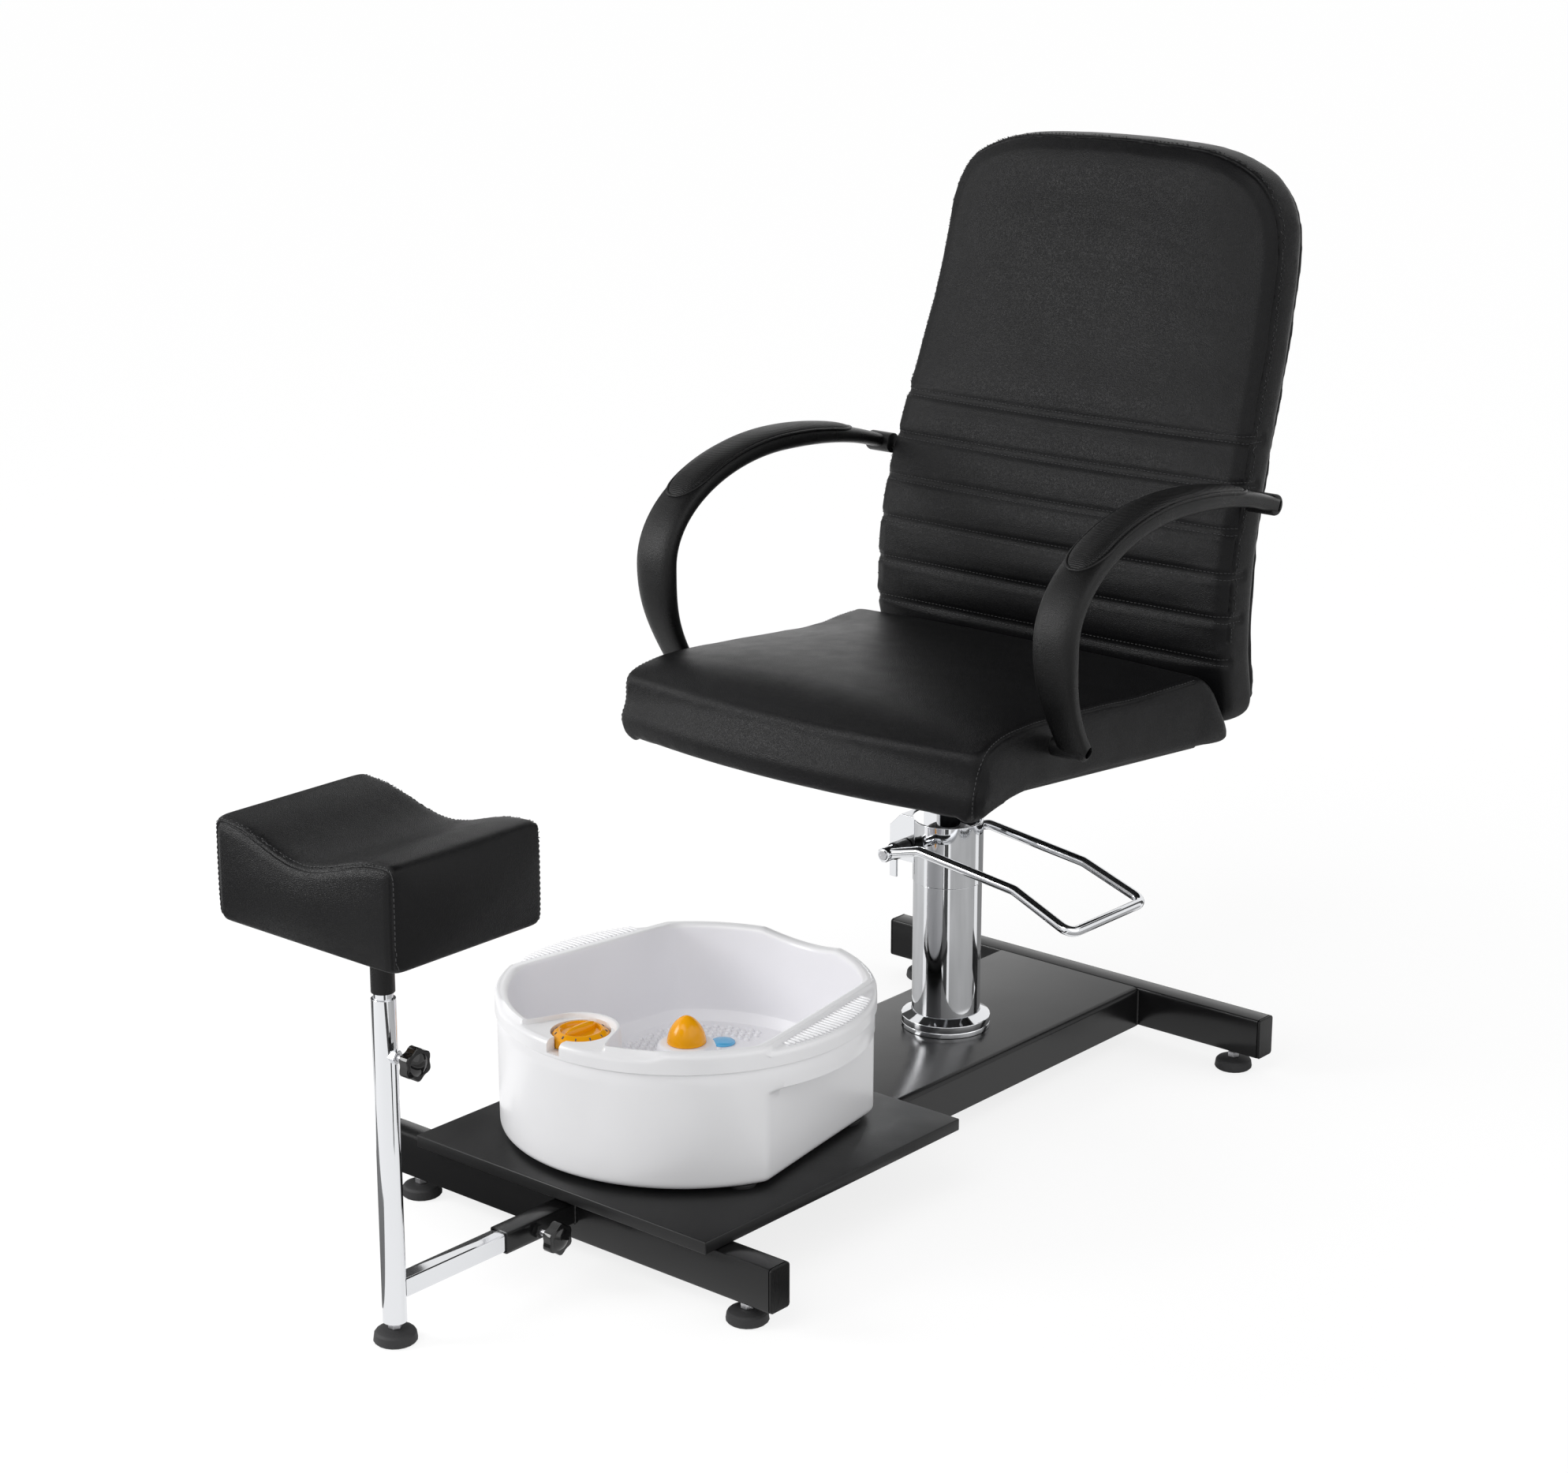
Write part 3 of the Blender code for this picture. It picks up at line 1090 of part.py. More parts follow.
def arm_point(travel):
    """Place, outward normal and section scale of an arm's middle line; travel runs from 0 to 3."""
    spans = ((ARM_FOOT, ARM_FOOT_OUT, ARM_FRONT_IN, ARM_FRONT),
             (ARM_FRONT, ARM_FRONT_OUT, ARM_CREST_IN, ARM_CREST),
             (ARM_CREST, ARM_CREST_OUT, ARM_HEEL_IN, ARM_HEEL))
    span = min(int(travel), 2)
    t = travel - span
    a, b, c, d = (Vector(point) for point in spans[span])
    place = a * (1 - t) ** 3 + b * 3 * t * (1 - t) ** 2 + c * 3 * t * t * (1 - t) + d * t ** 3
    slope = (b - a) * 3 * (1 - t) ** 2 + (c - b) * 6 * t * (1 - t) + (d - c) * 3 * t * t
    along = slope.normalized()
    scale = ARM_SCALES[span] + (ARM_SCALES[span + 1] - ARM_SCALES[span]) * ease(t)
    return place, Vector((-along.y, along.x)), scale


def arm(side, name, body):
    """Moulded loop with a screw boss at either end, and the soft pad on its upper run."""
    matrix = axis_matrix("X", (side * ARM_X, COLUMN_Y, SEAT_HEIGHT))
    samples = [arm_point(step / ARM_STEPS) for step in range(3 * ARM_STEPS + 1)]
    section = rounded_rectangle(ARM_THICKNESS, ARM_WIDTH, ARM_CORNER, 2)
    loop = swept(f"arm_{name}", [place for place, normal, scale in samples],
                 [scale for place, normal, scale in samples], section, matrix)
    outer = ARM_X + BOSS_PROUD
    foot_seat = max(seat_side(ARM_FOOT[0] - FOOT_BOSS_RADIUS), seat_side(ARM_FOOT[0] + FOOT_BOSS_RADIUS))
    heel_seat = back_half_width(ARM_HEEL[1] - HEEL_BOSS_RADIUS)
    bosses = (("foot", ARM_FOOT, foot_seat, FOOT_BOSS_RADIUS),
              ("heel", ARM_HEEL, heel_seat, HEEL_BOSS_RADIUS))
    for end, place, seat, radius in bosses:
        spot = (0, COLUMN_Y + place[0], SEAT_HEIGHT + place[1])
        ends = sorted((side * (seat + GAP), side * outer))
        join(loop, rod(f"arm_boss_{end}_{name}", radius, *ends, "X", spot))
    for end, place, seat, radius in bosses:
        spot = (0, COLUMN_Y + place[0], SEAT_HEIGHT + place[1])
        ends = sorted((side * (outer - BOSS_RECESS), side * (outer + ARM_WIDTH)))
        cut(loop, rod(f"arm_recess_{end}_{name}", BOSS_RECESS_RADIUS, *ends, "X", spot, SCREW_SIDES))
    finish_part(loop, body, "black_plastic")

    points, scales = [], []
    for step in range(ARM_PAD_FIRST, ARM_PAD_LAST + 1):
        place, normal, scale = samples[step]
        from_end = min(step - ARM_PAD_FIRST, ARM_PAD_LAST - step)
        taper = math.sqrt(ease((from_end + 1) / 3))
        lift = ARM_THICKNESS / 2 * scale + GAP + ARM_PAD_THICKNESS / 2 * taper * scale
        points.append(place + normal * lift)
        scales.append(taper * scale)
    pad_section = rounded_rectangle(ARM_PAD_THICKNESS, ARM_PAD_WIDTH, ARM_PAD_THICKNESS * 0.4, 2)
    pad = swept(f"arm_pad_{name}", points, scales, pad_section, matrix)
    finish_part(pad, body, "soft_black")


# Foot tub


def hand_hold_cutter(name, side, distance, low, high, rounding):
    """Block that cuts a flat hand hold into one side of a tub's round wall."""
    reach = TUB_RADIUS + TUB_DRAFT + TUB_LIP
    tool = block(name, (distance, -2 * reach, low), (2 * reach, 2 * reach, high), rounding, 3)
    turn = TUB_FLAT_ANGLE if side > 0 else math.pi - TUB_FLAT_ANGLE
    tool.matrix_world = (Matrix.Translation((TUB_OFFSET, TUB_Y, TUB_BASE)) @ Matrix.Rotation(turn, 4, "Z")
                         @ tool.matrix_world)
    return tool


def cut_hand_holds(item, distance, low, high, rounding):
    for side in (-1, 1):
        cut(item, hand_hold_cutter(f"{item.name}_hold_{side}", side, distance, low, high, rounding))


def tub_shell(body):
    """Outer shell with a rounded foot and a flat hand hold on either side, hollow and open at the top."""
    place = (TUB_OFFSET, TUB_Y, TUB_BASE)
    top_radius = TUB_RADIUS + TUB_DRAFT
    foot = arc((TUB_RADIUS - TUB_BOTTOM_ROUND, TUB_BOTTOM_ROUND), TUB_BOTTOM_ROUND, 0, -90)
    shell = turned("tub_shell", [(0, TUB_SEAM), (top_radius, TUB_SEAM)] + foot + [(0, 0)], place, TUB_SIDES)
    cut_hand_holds(shell, TUB_FLAT, -OVERCUT - TUB_FLAT_ROUND, TUB_FLAT_HEIGHT, TUB_FLAT_ROUND)
    inner_foot = arc((TUB_RADIUS - TUB_BOTTOM_ROUND, TUB_BOTTOM_ROUND), TUB_BOTTOM_ROUND - TUB_WALL, 0, -90)
    hollow = turned("tub_shell_hollow", [(0, TUB_SEAM + OVERCUT), (top_radius - TUB_WALL, TUB_SEAM + OVERCUT)]
                    + inner_foot + [(0, TUB_WALL)], place, TUB_SIDES)
    cut_hand_holds(hollow, TUB_FLAT - TUB_WALL, -OVERCUT - TUB_FLAT_ROUND, TUB_FLAT_HEIGHT + TUB_WALL,
                   TUB_FLAT_ROUND)
    finish_part(cut(shell, hollow), body, "white_plastic")


def basin_profile(radius, floor, top, rounding):
    """Turned solid that widens from a rounded floor to the given height."""
    foot = radius - BASIN_DRAFT
    turn = arc((foot - rounding, floor + rounding), rounding, 0, -90)
    return [(0, top), (radius, top)] + turn + [(0, floor)]


def tub_basin(body):
    """Basin and rim: an island for the dial, hand holds, a pouring dip and an island for the dome."""
    place = (TUB_OFFSET, TUB_Y, TUB_BASE)
    outer = TUB_RADIUS + TUB_DRAFT + TUB_LIP
    low = TUB_SEAM + GAP
    rim = arc((outer - TUB_RIM_ROUND, TUB_RIM - TUB_RIM_ROUND), TUB_RIM_ROUND, 90, 0)
    basin = turned("tub_basin", [(0, TUB_RIM)] + rim + [(outer, low), (0, low)], place, TUB_SIDES)
    outline = basin_profile(BASIN_RADIUS + TUB_WALL, TUB_FLOOR - TUB_WALL, TUB_SEAM + OVERCUT,
                            BASIN_FLOOR_ROUND)
    half_step = math.pi / TUB_SIDES
    bowl = turned("tub_bowl", outline, place, TUB_SIDES, turn=half_step)
    cut_hand_holds(bowl, BASIN_FLAT + TUB_WALL, 0.0, TUB_RIM, 0.0)
    join(basin, bowl)
    for side in (-1, 1):
        grip = hand_hold_cutter(f"tub_grip_{side}", side, BASIN_FLAT + GRIP_BEAD, TUB_RIM - GRIP_DROP,
                                TUB_RIM + OVERCUT, 0.0)
        cut(basin, grip)
    outline = basin_profile(BASIN_RADIUS, TUB_FLOOR, TUB_RIM + OVERCUT, BASIN_FLOOR_ROUND)
    opening = turned("tub_opening", outline, place, TUB_SIDES, turn=half_step)
    cut_hand_holds(opening, BASIN_FLAT, 0.0, TUB_RIM + 2 * OVERCUT, 0.0)
    island = rod("tub_dial_island", DIAL_RADIUS + DIAL_POCKET_FIT + DIAL_WALL, TUB_BASE,
                 TUB_BASE + TUB_RIM + 2 * OVERCUT, "Z", (TUB_OFFSET, DIAL_Y, 0), 48)
    cut(opening, island)
    cut(basin, opening)
    crest = TUB_FLOOR + DOME_BASE_HEIGHT
    root = TUB_FLOOR - TUB_WALL / 2
    outline = [(0, crest), (DOME_BASE, crest), (DOME_BASE_FOOT, root), (0, root)]
    pedestal = turned("tub_dome_island", outline, place, TUB_SIDES // 2)
    join(basin, pedestal)
    rim_top = TUB_BASE + TUB_RIM
    pocket = rod("tub_dial_pocket", DIAL_RADIUS + DIAL_POCKET_FIT, rim_top - DIAL_POCKET,
                 rim_top + OVERCUT, "Z", (TUB_OFFSET, DIAL_Y, 0), SIDES)
    cut(basin, pocket)
    slot = block("tub_dial_slot", (TUB_OFFSET - DIAL_SLOT / 2, TUB_Y - 2 * TUB_RADIUS, rim_top - DIAL_POCKET),
                 (TUB_OFFSET + DIAL_SLOT / 2, DIAL_Y, rim_top + OVERCUT))
    cut(basin, slot)
    pour = rod("tub_pour", POUR_RADIUS, TUB_Y + BASIN_RADIUS / 2, TUB_Y + 2 * TUB_RADIUS, "Y",
               (TUB_OFFSET, 0, rim_top + POUR_RADIUS - POUR_DEPTH), 64)
    finish_part(cut(basin, pour), body, "white_plastic")


def tub_fittings(body):
    """Massage dome, lens and rubber feet."""
    crest = TUB_BASE + TUB_FLOOR + DOME_BASE_HEIGHT + GAP
    profile = [(0, DOME_HEIGHT)]
    for angle in (78, 64, 50, 36, 20):
        a = math.radians(angle)
        profile.append((DOME_RADIUS * math.cos(a), DOME_HEIGHT * math.sin(a)))
    profile += [(DOME_RADIUS, DOME_HEIGHT * 0.12), (DOME_RADIUS, 0), (0, 0)]
    finish_part(turned("tub_dome", profile, (TUB_OFFSET, TUB_Y, crest)), body, "orange_plastic")

    floor = TUB_BASE + TUB_FLOOR + GAP
    place = (TUB_OFFSET + LENS_PLACE[0], TUB_Y + LENS_PLACE[1], floor)
    profile = [(0, LENS_HEIGHT), (LENS_RADIUS * 0.7, LENS_HEIGHT * 0.85), (LENS_RADIUS, LENS_HEIGHT * 0.3),
               (LENS_RADIUS, 0), (0, 0)]
    finish_part(turned("tub_lens", profile, place, SMALL_SIDES), body, "blue_lens")

    front = (TUB_RADIUS - TUB_FRONT_FOOT_INSET, TUB_FRONT_FOOT_ANGLE)
    rear = (TUB_RADIUS - TUB_REAR_FOOT_INSET, TUB_REAR_FOOT_ANGLE)
    spots = (("front_left", 1, front), ("front_right", -1, front), ("rear_left", 1, rear),
             ("rear_right", -1, rear))
    for name, side, (reach, angle) in spots:
        profile = [(0, TUB_FOOT_HEIGHT), (TUB_FOOT_RADIUS, TUB_FOOT_HEIGHT), (TUB_FOOT_RADIUS * 0.9, 0),
                   (0, 0)]
        place = (TUB_OFFSET + side * reach * math.cos(angle), TUB_Y + reach * math.sin(angle), TRAY_TOP + GAP)
        foot = turned(f"tub_foot_{name}", profile, place, SMALL_SIDES)
        finish_part(foot, body, "black_rubber")


def tub_dial(body):
    """Round dial with a raised grip bar across it."""
    base = TUB_BASE + TUB_RIM - DIAL_POCKET + GAP
    round_off = DIAL_HEIGHT * 0.16
    profile = [(0, DIAL_HEIGHT), (DIAL_RADIUS * 0.72, DIAL_HEIGHT),
               (DIAL_RADIUS - round_off, DIAL_HEIGHT - round_off / 2),
               (DIAL_RADIUS, DIAL_HEIGHT - 2 * round_off), (DIAL_RADIUS, 0), (0, 0)]
    dial = turned("tub_dial", profile, (TUB_OFFSET, DIAL_Y, base))
    half = DIAL_RADIUS * 0.72
    grip = block("tub_dial_grip", (TUB_OFFSET - half, DIAL_Y - DIAL_GRIP_WIDTH / 2, base + DIAL_HEIGHT / 2),
                 (TUB_OFFSET + half, DIAL_Y + DIAL_GRIP_WIDTH / 2, base + DIAL_HEIGHT + DIAL_GRIP_HEIGHT),
                 DIAL_GRIP_WIDTH * 0.3, 2)
    finish_part(join(dial, grip), body, "orange_plastic")


def build():
    base = pivot("base", (0, 0, 0))
    for name, y in (("front", FRONT_TUBE_Y), ("rear", REAR_TUBE_Y)):
        cross_tube(f"{name}_cross_tube", y, base)
        for side, hand in ((1, "left"), (-1, "right")):
            end_cap(f"end_cap_{name}_{hand}", y, side, base)
            foot = pivot(f"foot_{name}_{hand}", (side * FOOT_X, y, 0), base)
            levelling_foot(f"{name}_{hand}", side * FOOT_X, y, FLOOR_CLEARANCE, foot)
    base_beam(base)
    tray_board(base)
    arm_sleeve(base)
    knob = pivot("sleeve_knob_axis", (0, SLEEVE_KNOB_Y, SLEEVE_HEIGHT), base)
    star_knob("sleeve_knob", SLEEVE_SIZE / 2, ARM_BAR_SIZE / 2, SLEEVE_KNOB_Y, SLEEVE_HEIGHT, knob)

    slider = pivot("footrest_slide", (0, POLE_Y, SLEEVE_HEIGHT), base)
    footrest_arm(slider)
    footrest_pole(slider)
    foot = pivot("foot_pole", (0, POLE_Y, 0), slider)
    levelling_foot("pole", 0, POLE_Y, POLE_BOTTOM, foot)
    knob = pivot("pole_knob_axis", (0, POLE_Y, POLE_KNOB_HEIGHT), slider)
    star_knob("pole_knob", POLE_RADIUS, POST_RADIUS, POLE_Y, POLE_KNOB_HEIGHT, knob)
    post = pivot("footrest_lift", (0, POLE_Y, POLE_TOP), slider)
    footrest_post(post)
    head = pivot("footrest_swivel", (0, POLE_Y, FOOTREST_HEIGHT), post)
    footrest_head(head)

    pump(base)
    axle = pivot("pedal_axis", (-AXLE_OFFSET, COLUMN_Y, AXLE_HEIGHT), base)
    pedal(axle)
    lift = pivot("seat_lift", (0, COLUMN_Y, RAM_BOTTOM), base)
    ram(lift)
    seat = pivot("seat_swivel", (0, COLUMN_Y, HUB_BOTTOM), lift)
    seat_base(seat)
    seat_cushion(seat)
    back_cushion(seat)
    back_panel(seat)
    for side, hand in ((1, "left"), (-1, "right")):
        arm(side, hand, seat)

    tub = pivot("foot_tub", (TUB_OFFSET, TUB_Y, TRAY_TOP), base)
    tub_shell(tub)
    tub_basin(tub)
    tub_fittings(tub)
    dial = pivot("dial_axis", (TUB_OFFSET, DIAL_Y, TUB_BASE + TUB_RIM), tub)
    tub_dial(dial)


build()
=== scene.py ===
"""Looks of a pedicure chair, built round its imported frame. Lengths are in metres."""

import json
from math import atan2, cos, hypot, pi, radians, sin, sqrt, tan

import bmesh
import bpy
import numpy as np
from mathutils import Matrix, Vector
from mathutils.bvhtree import BVHTree
from mathutils.kdtree import KDTree

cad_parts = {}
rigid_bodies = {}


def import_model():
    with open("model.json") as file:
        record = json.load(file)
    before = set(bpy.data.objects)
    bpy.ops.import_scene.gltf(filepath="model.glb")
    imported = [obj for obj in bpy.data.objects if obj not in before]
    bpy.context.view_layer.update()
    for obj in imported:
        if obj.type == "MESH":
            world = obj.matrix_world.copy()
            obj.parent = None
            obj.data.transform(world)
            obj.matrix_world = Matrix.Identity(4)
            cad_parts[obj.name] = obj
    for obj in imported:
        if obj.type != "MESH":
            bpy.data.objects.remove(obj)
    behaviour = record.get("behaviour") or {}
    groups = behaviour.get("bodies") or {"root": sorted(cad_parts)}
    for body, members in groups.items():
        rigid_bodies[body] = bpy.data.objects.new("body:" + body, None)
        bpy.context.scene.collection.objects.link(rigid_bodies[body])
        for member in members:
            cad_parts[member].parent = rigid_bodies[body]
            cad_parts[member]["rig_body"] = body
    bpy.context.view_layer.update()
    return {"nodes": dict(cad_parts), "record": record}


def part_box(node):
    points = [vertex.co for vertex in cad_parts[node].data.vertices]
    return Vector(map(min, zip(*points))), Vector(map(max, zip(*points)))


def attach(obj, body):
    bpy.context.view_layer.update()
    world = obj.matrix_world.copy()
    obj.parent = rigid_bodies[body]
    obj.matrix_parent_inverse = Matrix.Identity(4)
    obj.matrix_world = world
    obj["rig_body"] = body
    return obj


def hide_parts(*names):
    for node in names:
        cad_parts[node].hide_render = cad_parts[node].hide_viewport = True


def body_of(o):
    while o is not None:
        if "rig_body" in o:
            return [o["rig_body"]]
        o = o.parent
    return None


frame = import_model()

# Camera
CAMERA_PLACE = (2.25243, -2.61938, 1.51628)
CAMERA_AZIMUTH = radians(40.50)
CAMERA_ELEVATION = radians(16.32)
CAMERA_LENS = 75.39
CAMERA_SENSOR = 36

# Studio; a sun has a name, azimuth, elevation, power and angular width
SUNS = (("key", 5, 48, 0.7, 40), ("fill", 95, 35, 0.5, 60))
SOFTBOX_HEADING = radians(-133)
SOFTBOX_ELEVATION = radians(20)
SOFTBOX_AWAY = 2.8
SOFTBOX_LIFT = 0.5
SOFTBOX_SIZE = (1.0, 1.2)
SOFTBOX_POWER = 38.0
WORLD_LIGHT = 0.52          # on the object; where it is seen directly it is 1
FLOOR_HALF = 60.0
FLOOR_GREY = 0.86
FLOOR_GLOW = 1.12           # where the floor is seen directly
FLOOR_GLOW_SHARE = 0.72
# Dark cards that shiny surfaces mirror: name, heading and elevation from the column in degrees, distance,
# width, height and grey
CARDS = (("card_right", 65, 6, 2.6, 0.9, 3.0, 0.10), ("card_rear", 160, 6, 2.6, 0.8, 3.0, 0.06),
         ("card_over", 90, 88, 2.8, 4.4, 4.4, 0.02))
CARD_LIFT = 0.35
# Flags on the floor that the column and the cushions mirror: name, first and last heading from the column
# in degrees, nearest and furthest reach, and grey
FLAGS = (("flag_front", -63, -51, 0.30, 4.5, 0.03), ("flag_left", -122, -95, 0.30, 1.25, 0.14),
         ("flag_wide", -155, -119, 1.25, 5.0, 0.05), ("flag_right", -44, 48, 0.30, 2.4, 0.52),
         ("flag_rear", 66, 128, 0.30, 2.4, 0.30), ("flag_far", 140, 225, 0.30, 1.25, 0.60))
FLAG_LIFT = 0.002
FLAG_STEPS = 12

# Shapes of the frame that the looks are worked out from
SHELL_LOW, SHELL_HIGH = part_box("tub_shell")
BASIN_LOW, BASIN_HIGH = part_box("tub_basin")
DIAL_LOW, DIAL_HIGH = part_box("tub_dial")
DOME_LOW, DOME_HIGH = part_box("tub_dome")
LENS_LOW, LENS_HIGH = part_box("tub_lens")
BACK_LOW, BACK_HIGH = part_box("back_cushion")
SEAT_LOW, SEAT_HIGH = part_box("seat_cushion")
REST_LOW, REST_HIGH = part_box("footrest_cushion")
COLUMN_LOW, COLUMN_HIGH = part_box("pump_cover")
BEAM_LOW, BEAM_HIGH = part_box("base_beam")
SLEEVE_LOW, SLEEVE_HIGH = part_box("arm_sleeve")
COLUMN_Y = (COLUMN_LOW.y + COLUMN_HIGH.y) / 2
TUB_X = (DOME_LOW.x + DOME_HIGH.x) / 2
TUB_Y = (DOME_LOW.y + DOME_HIGH.y) / 2
DIAL_Y = (DIAL_LOW.y + DIAL_HIGH.y) / 2
ARM_X = sum(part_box("arm_pad_left")[end].x for end in (0, 1)) / 2

# Solids that only get softened edges
EDGE = 0.0006
EDGE_SEGMENTS = 2
SHARP = 32

# Cushions
WELD = 1e-5
VOXEL = 0.0055              # of the remeshed cushions
REST_VOXEL = 0.0042
PANEL_VOXEL = 0.005
SLACK = 0.003               # by which a cushion is smaller before it swells
SWELL_FRAMES = 20
CLOTH = {"quality": 5, "mass": 0.3, "tension_stiffness": 12, "compression_stiffness": 12,
         "shear_stiffness": 6, "bending_stiffness": 0.6, "use_pressure": True,
         "uniform_pressure_force": 4.0, "vertex_group_mass": "held"}
COVER_SHARP = 60
STITCH_PITCH = 0.0054
STITCH_LENGTH = 0.0040
STITCH_RADIUS = 0.00045
STITCH_SIDES = 6
# Rings of a stitch: place along it, lift and girth
STITCH_RINGS = ((-0.5, -1.0, 0.5), (-0.36, 0.1, 0.9), (0.0, 0.55, 1.0), (0.36, 0.1, 0.9), (0.5, -1.0, 0.5))
SEAM_STEP = 0.003           # between the points of a seam's path
SEAM_WIDTH = 0.0026         # of the crease at a seam
SEAM_DEPTH = 0.0021
CREASE_STEP = 0.0012
CREASE_REACH = 0.012        # how far from a seam its crease is worked out
CREASE_FINE = 0.0065        # how far from a seam the mesh is finer
ROW_OFFSET = 0.0032         # of a row of stitches from its seam
SEAT_ROW = 0.0042
REST_ROW = 0.0065
EDGE_ROW = 0.0085           # of the row beside the back's edge seam
AHEAD = 0.2                 # from which rays are cast at the back
BACK_MIDDLE = 0.8           # height of the back's middle
CHANNEL_TOP = 0.784
CHANNEL_PITCH = 0.0508
CHANNEL_COUNT = 6
CHANNEL_STEPS = 160
GUSSET_TURN = 0.36          # how far the back's edge has turned to the front at the seam round it
SIDE_TURN = 0.72            # how far the seat's edge has turned to the side at its seam
VALLEY = 0.009              # from the back's edge seam to the hollow inside it
FRONT_Y, FRONT_Z = SEAT_LOW.y + 0.100, 0.456  # middle of the roll at the seat's front
FRONT_RISE = 0.081
FRONT_SQUARENESS = 5        # of the roll in the frame
FRONT_FULLNESS = 2.35
FRONT_TUCK, FRONT_TUCK_TOP = 0.013, 0.482  # of the roll's lower edge
SKIRT = 0.0045              # by which the seat's sides hang past its board
SKIRT_X = 0.234
RAY_STEP = 0.0015
REST_CROWN = 0.007          # by which the middle of the footrest's sides stands out
REST_SEAM = 0.005           # from the ends of the footrest's outline to its seams

# Arms: middle line as three curves of four points each, as y and z
ARM_CURVES = (((0.166, 0.507), (0.134, 0.556), (0.125, 0.585), (0.125, 0.630)),
              ((0.125, 0.630), (0.125, 0.700), (0.224, 0.7485), (0.334, 0.7485)),
              ((0.334, 0.7485), (0.414, 0.7485), (0.485, 0.7346), (0.535, 0.717)))
ARM_SCALES = (0.74, 1.0, 0.96, 0.66)
ARM_HALF_WIDTH = 0.027
ARM_HALF_THICKNESS = 0.013
ARM_SQUARENESS = 2.8
ARM_SIDES = 44
ARM_STEPS = 91
# Ends: place on the line, direction, how far the rounded end passes the screw, boss radius and its inset
ARM_ENDS = ((0.0, -1, 0.0105, 0.0112, 0.0), (3.0, 1, 0.0085, 0.0124, 0.004))
ARM_TIP = (0.35, 0.62, 0.82, 0.94, 0.99)
BOSS_INSET = 0.006          # of a boss's outer face from the arm's
WELL_RADIUS, WELL_DEPTH = 0.0066, 0.011
SCREW_RADIUS = 0.0050
SOCKET_RADIUS = 0.0027
PAD_START, PAD_END = 1.375, 2.625
PAD_HALF_WIDTH = 0.0215
PAD_RISE = 0.0042
PAD_TONGUE = 0.13           # share of the pad's run that rounds off at either end
PAD_ROUNDNESS = 2.2
BEAD_RADIUS = 0.0021
BEAD_GAP = 0.0017

# Foot tub, from its middle
FLAT_ANGLE = radians(9.3)
FLAT_ANGLES = (FLAT_ANGLE, pi - FLAT_ANGLE)
SHELL_FLAT = 0.173
SHELL_FLAT_TOP = 0.101      # above the shell's foot
SHELL_ROUND = 0.007
SHELL_TAPER = 0.0006
SHELL_WALL = 0.0035
BASIN_FLAT = 0.162
BASIN_MOUTH = 0.1935
BASIN_FLOOR = 0.1371
BASIN_DRAFT = 0.009
BASIN_WALL = 0.004
BASIN_BAND = 0.0233         # height of the band that shows above the shell
BASIN_ROUND = 0.0065
BASIN_FILLET = 0.016
CORE = 0.02                 # radius at which the tub's skins close underneath
OUT_OF_REACH = 10.0
GRIP_BEAD = 0.012
GRIP_DROP = 0.005
RIB_PITCH = 0.0062
RIB_RADII = (0.0009, 0.0016, 0.0019, 0.0019, 0.0019, 0.0017, 0.0012)
POUR_HALF = 0.0555
POUR_DEPTH = 0.008
DIAL_POCKET = 0.0322
DIAL_DEPTH = 0.0195
DIAL_ISLAND = 0.0422
DIAL_SLOT = 0.009
DIAL_BAR = 0.0058           # half width of its grip bar
DIAL_MARKS = 11
SHELF_DROP = 0.0055         # of the rim round the dial
SHELF_TURN = radians(37)
# Pedestal of the dome: radii with heights over the floor, then under the pedestal's top
PEDESTAL_FOOT = ((0.0445, 0.0003), (0.0422, 0.0018), (0.0402, 0.006))
PEDESTAL_TOP = ((0.0352, 0.016), (0.0322, 0.0045), (0.0312, 0.0016), (0.0292, 0.0002), (0.0270, 0.0),
                (0.0120, 0.0))
PEDESTAL_EDGE = 0.052
NUB_PITCH = 0.0098
NUB_ROW = 0.87              # between rows, in pitches
NUB_RINGS = ((0.0035, -0.0004), (0.0033, 0.0013), (0.0025, 0.0026), (0.0011, 0.0033))
NUB_SIDES = 10
NUB_REACH = 18              # rows and columns on either side of the middle
NUB_CLEAR = 0.022           # from the lens and the middle line
TUB_SIDES = 480

# Pedal: corners of a rod from the axle to the end bar, and its spread
PEDAL_CORNERS = ((0.010, 0.0, 0.0125), (0.148, 0.0, -0.0045), (0.231, 0.005, -0.0365))
PEDAL_RADIUS = 0.006
PEDAL_BEND = 0.013
HUB_HALF = 0.009
HUB_PROFILE = ((0.0079, -0.009), (0.0088, -0.0081), (0.0088, 0.0081), (0.0079, 0.009))
HUB_BORE = 0.0044


# Mesh helpers

def add_object(name, points, faces):
    mesh = bpy.data.meshes.new(name)
    mesh.from_pydata([tuple(point) for point in points], [], faces)
    return linked(bpy.data.objects.new(name, mesh))


def linked(item):
    bpy.context.collection.objects.link(item)
    return item


def edit(item):
    bm = bmesh.new()
    bm.from_mesh(item.data)
    return bm


def store(bm, item):
    bm.to_mesh(item.data)
    bm.free()
    item.data.update()


def outward(item):
    bm = edit(item)
    bmesh.ops.recalc_face_normals(bm, faces=bm.faces)
    store(bm, item)
    return item


def shade(item, degrees):
    item.data.shade_smooth()
    item.data.set_sharp_from_angle(angle=radians(degrees))
    return item


def applied(item):
    """Makes the result of an object's modifiers its mesh."""
    depsgraph = bpy.context.evaluated_depsgraph_get()
    mesh = bpy.data.meshes.new_from_object(item.evaluated_get(depsgraph))
    item.modifiers.clear()
    item.data = mesh
    return item


def merged(name, items):
    bm = bmesh.new()
    for item in items:
        bm.from_mesh(item.data)
        bpy.data.objects.remove(item)
    whole = add_object(name, [], [])
    store(bm, whole)
    return whole


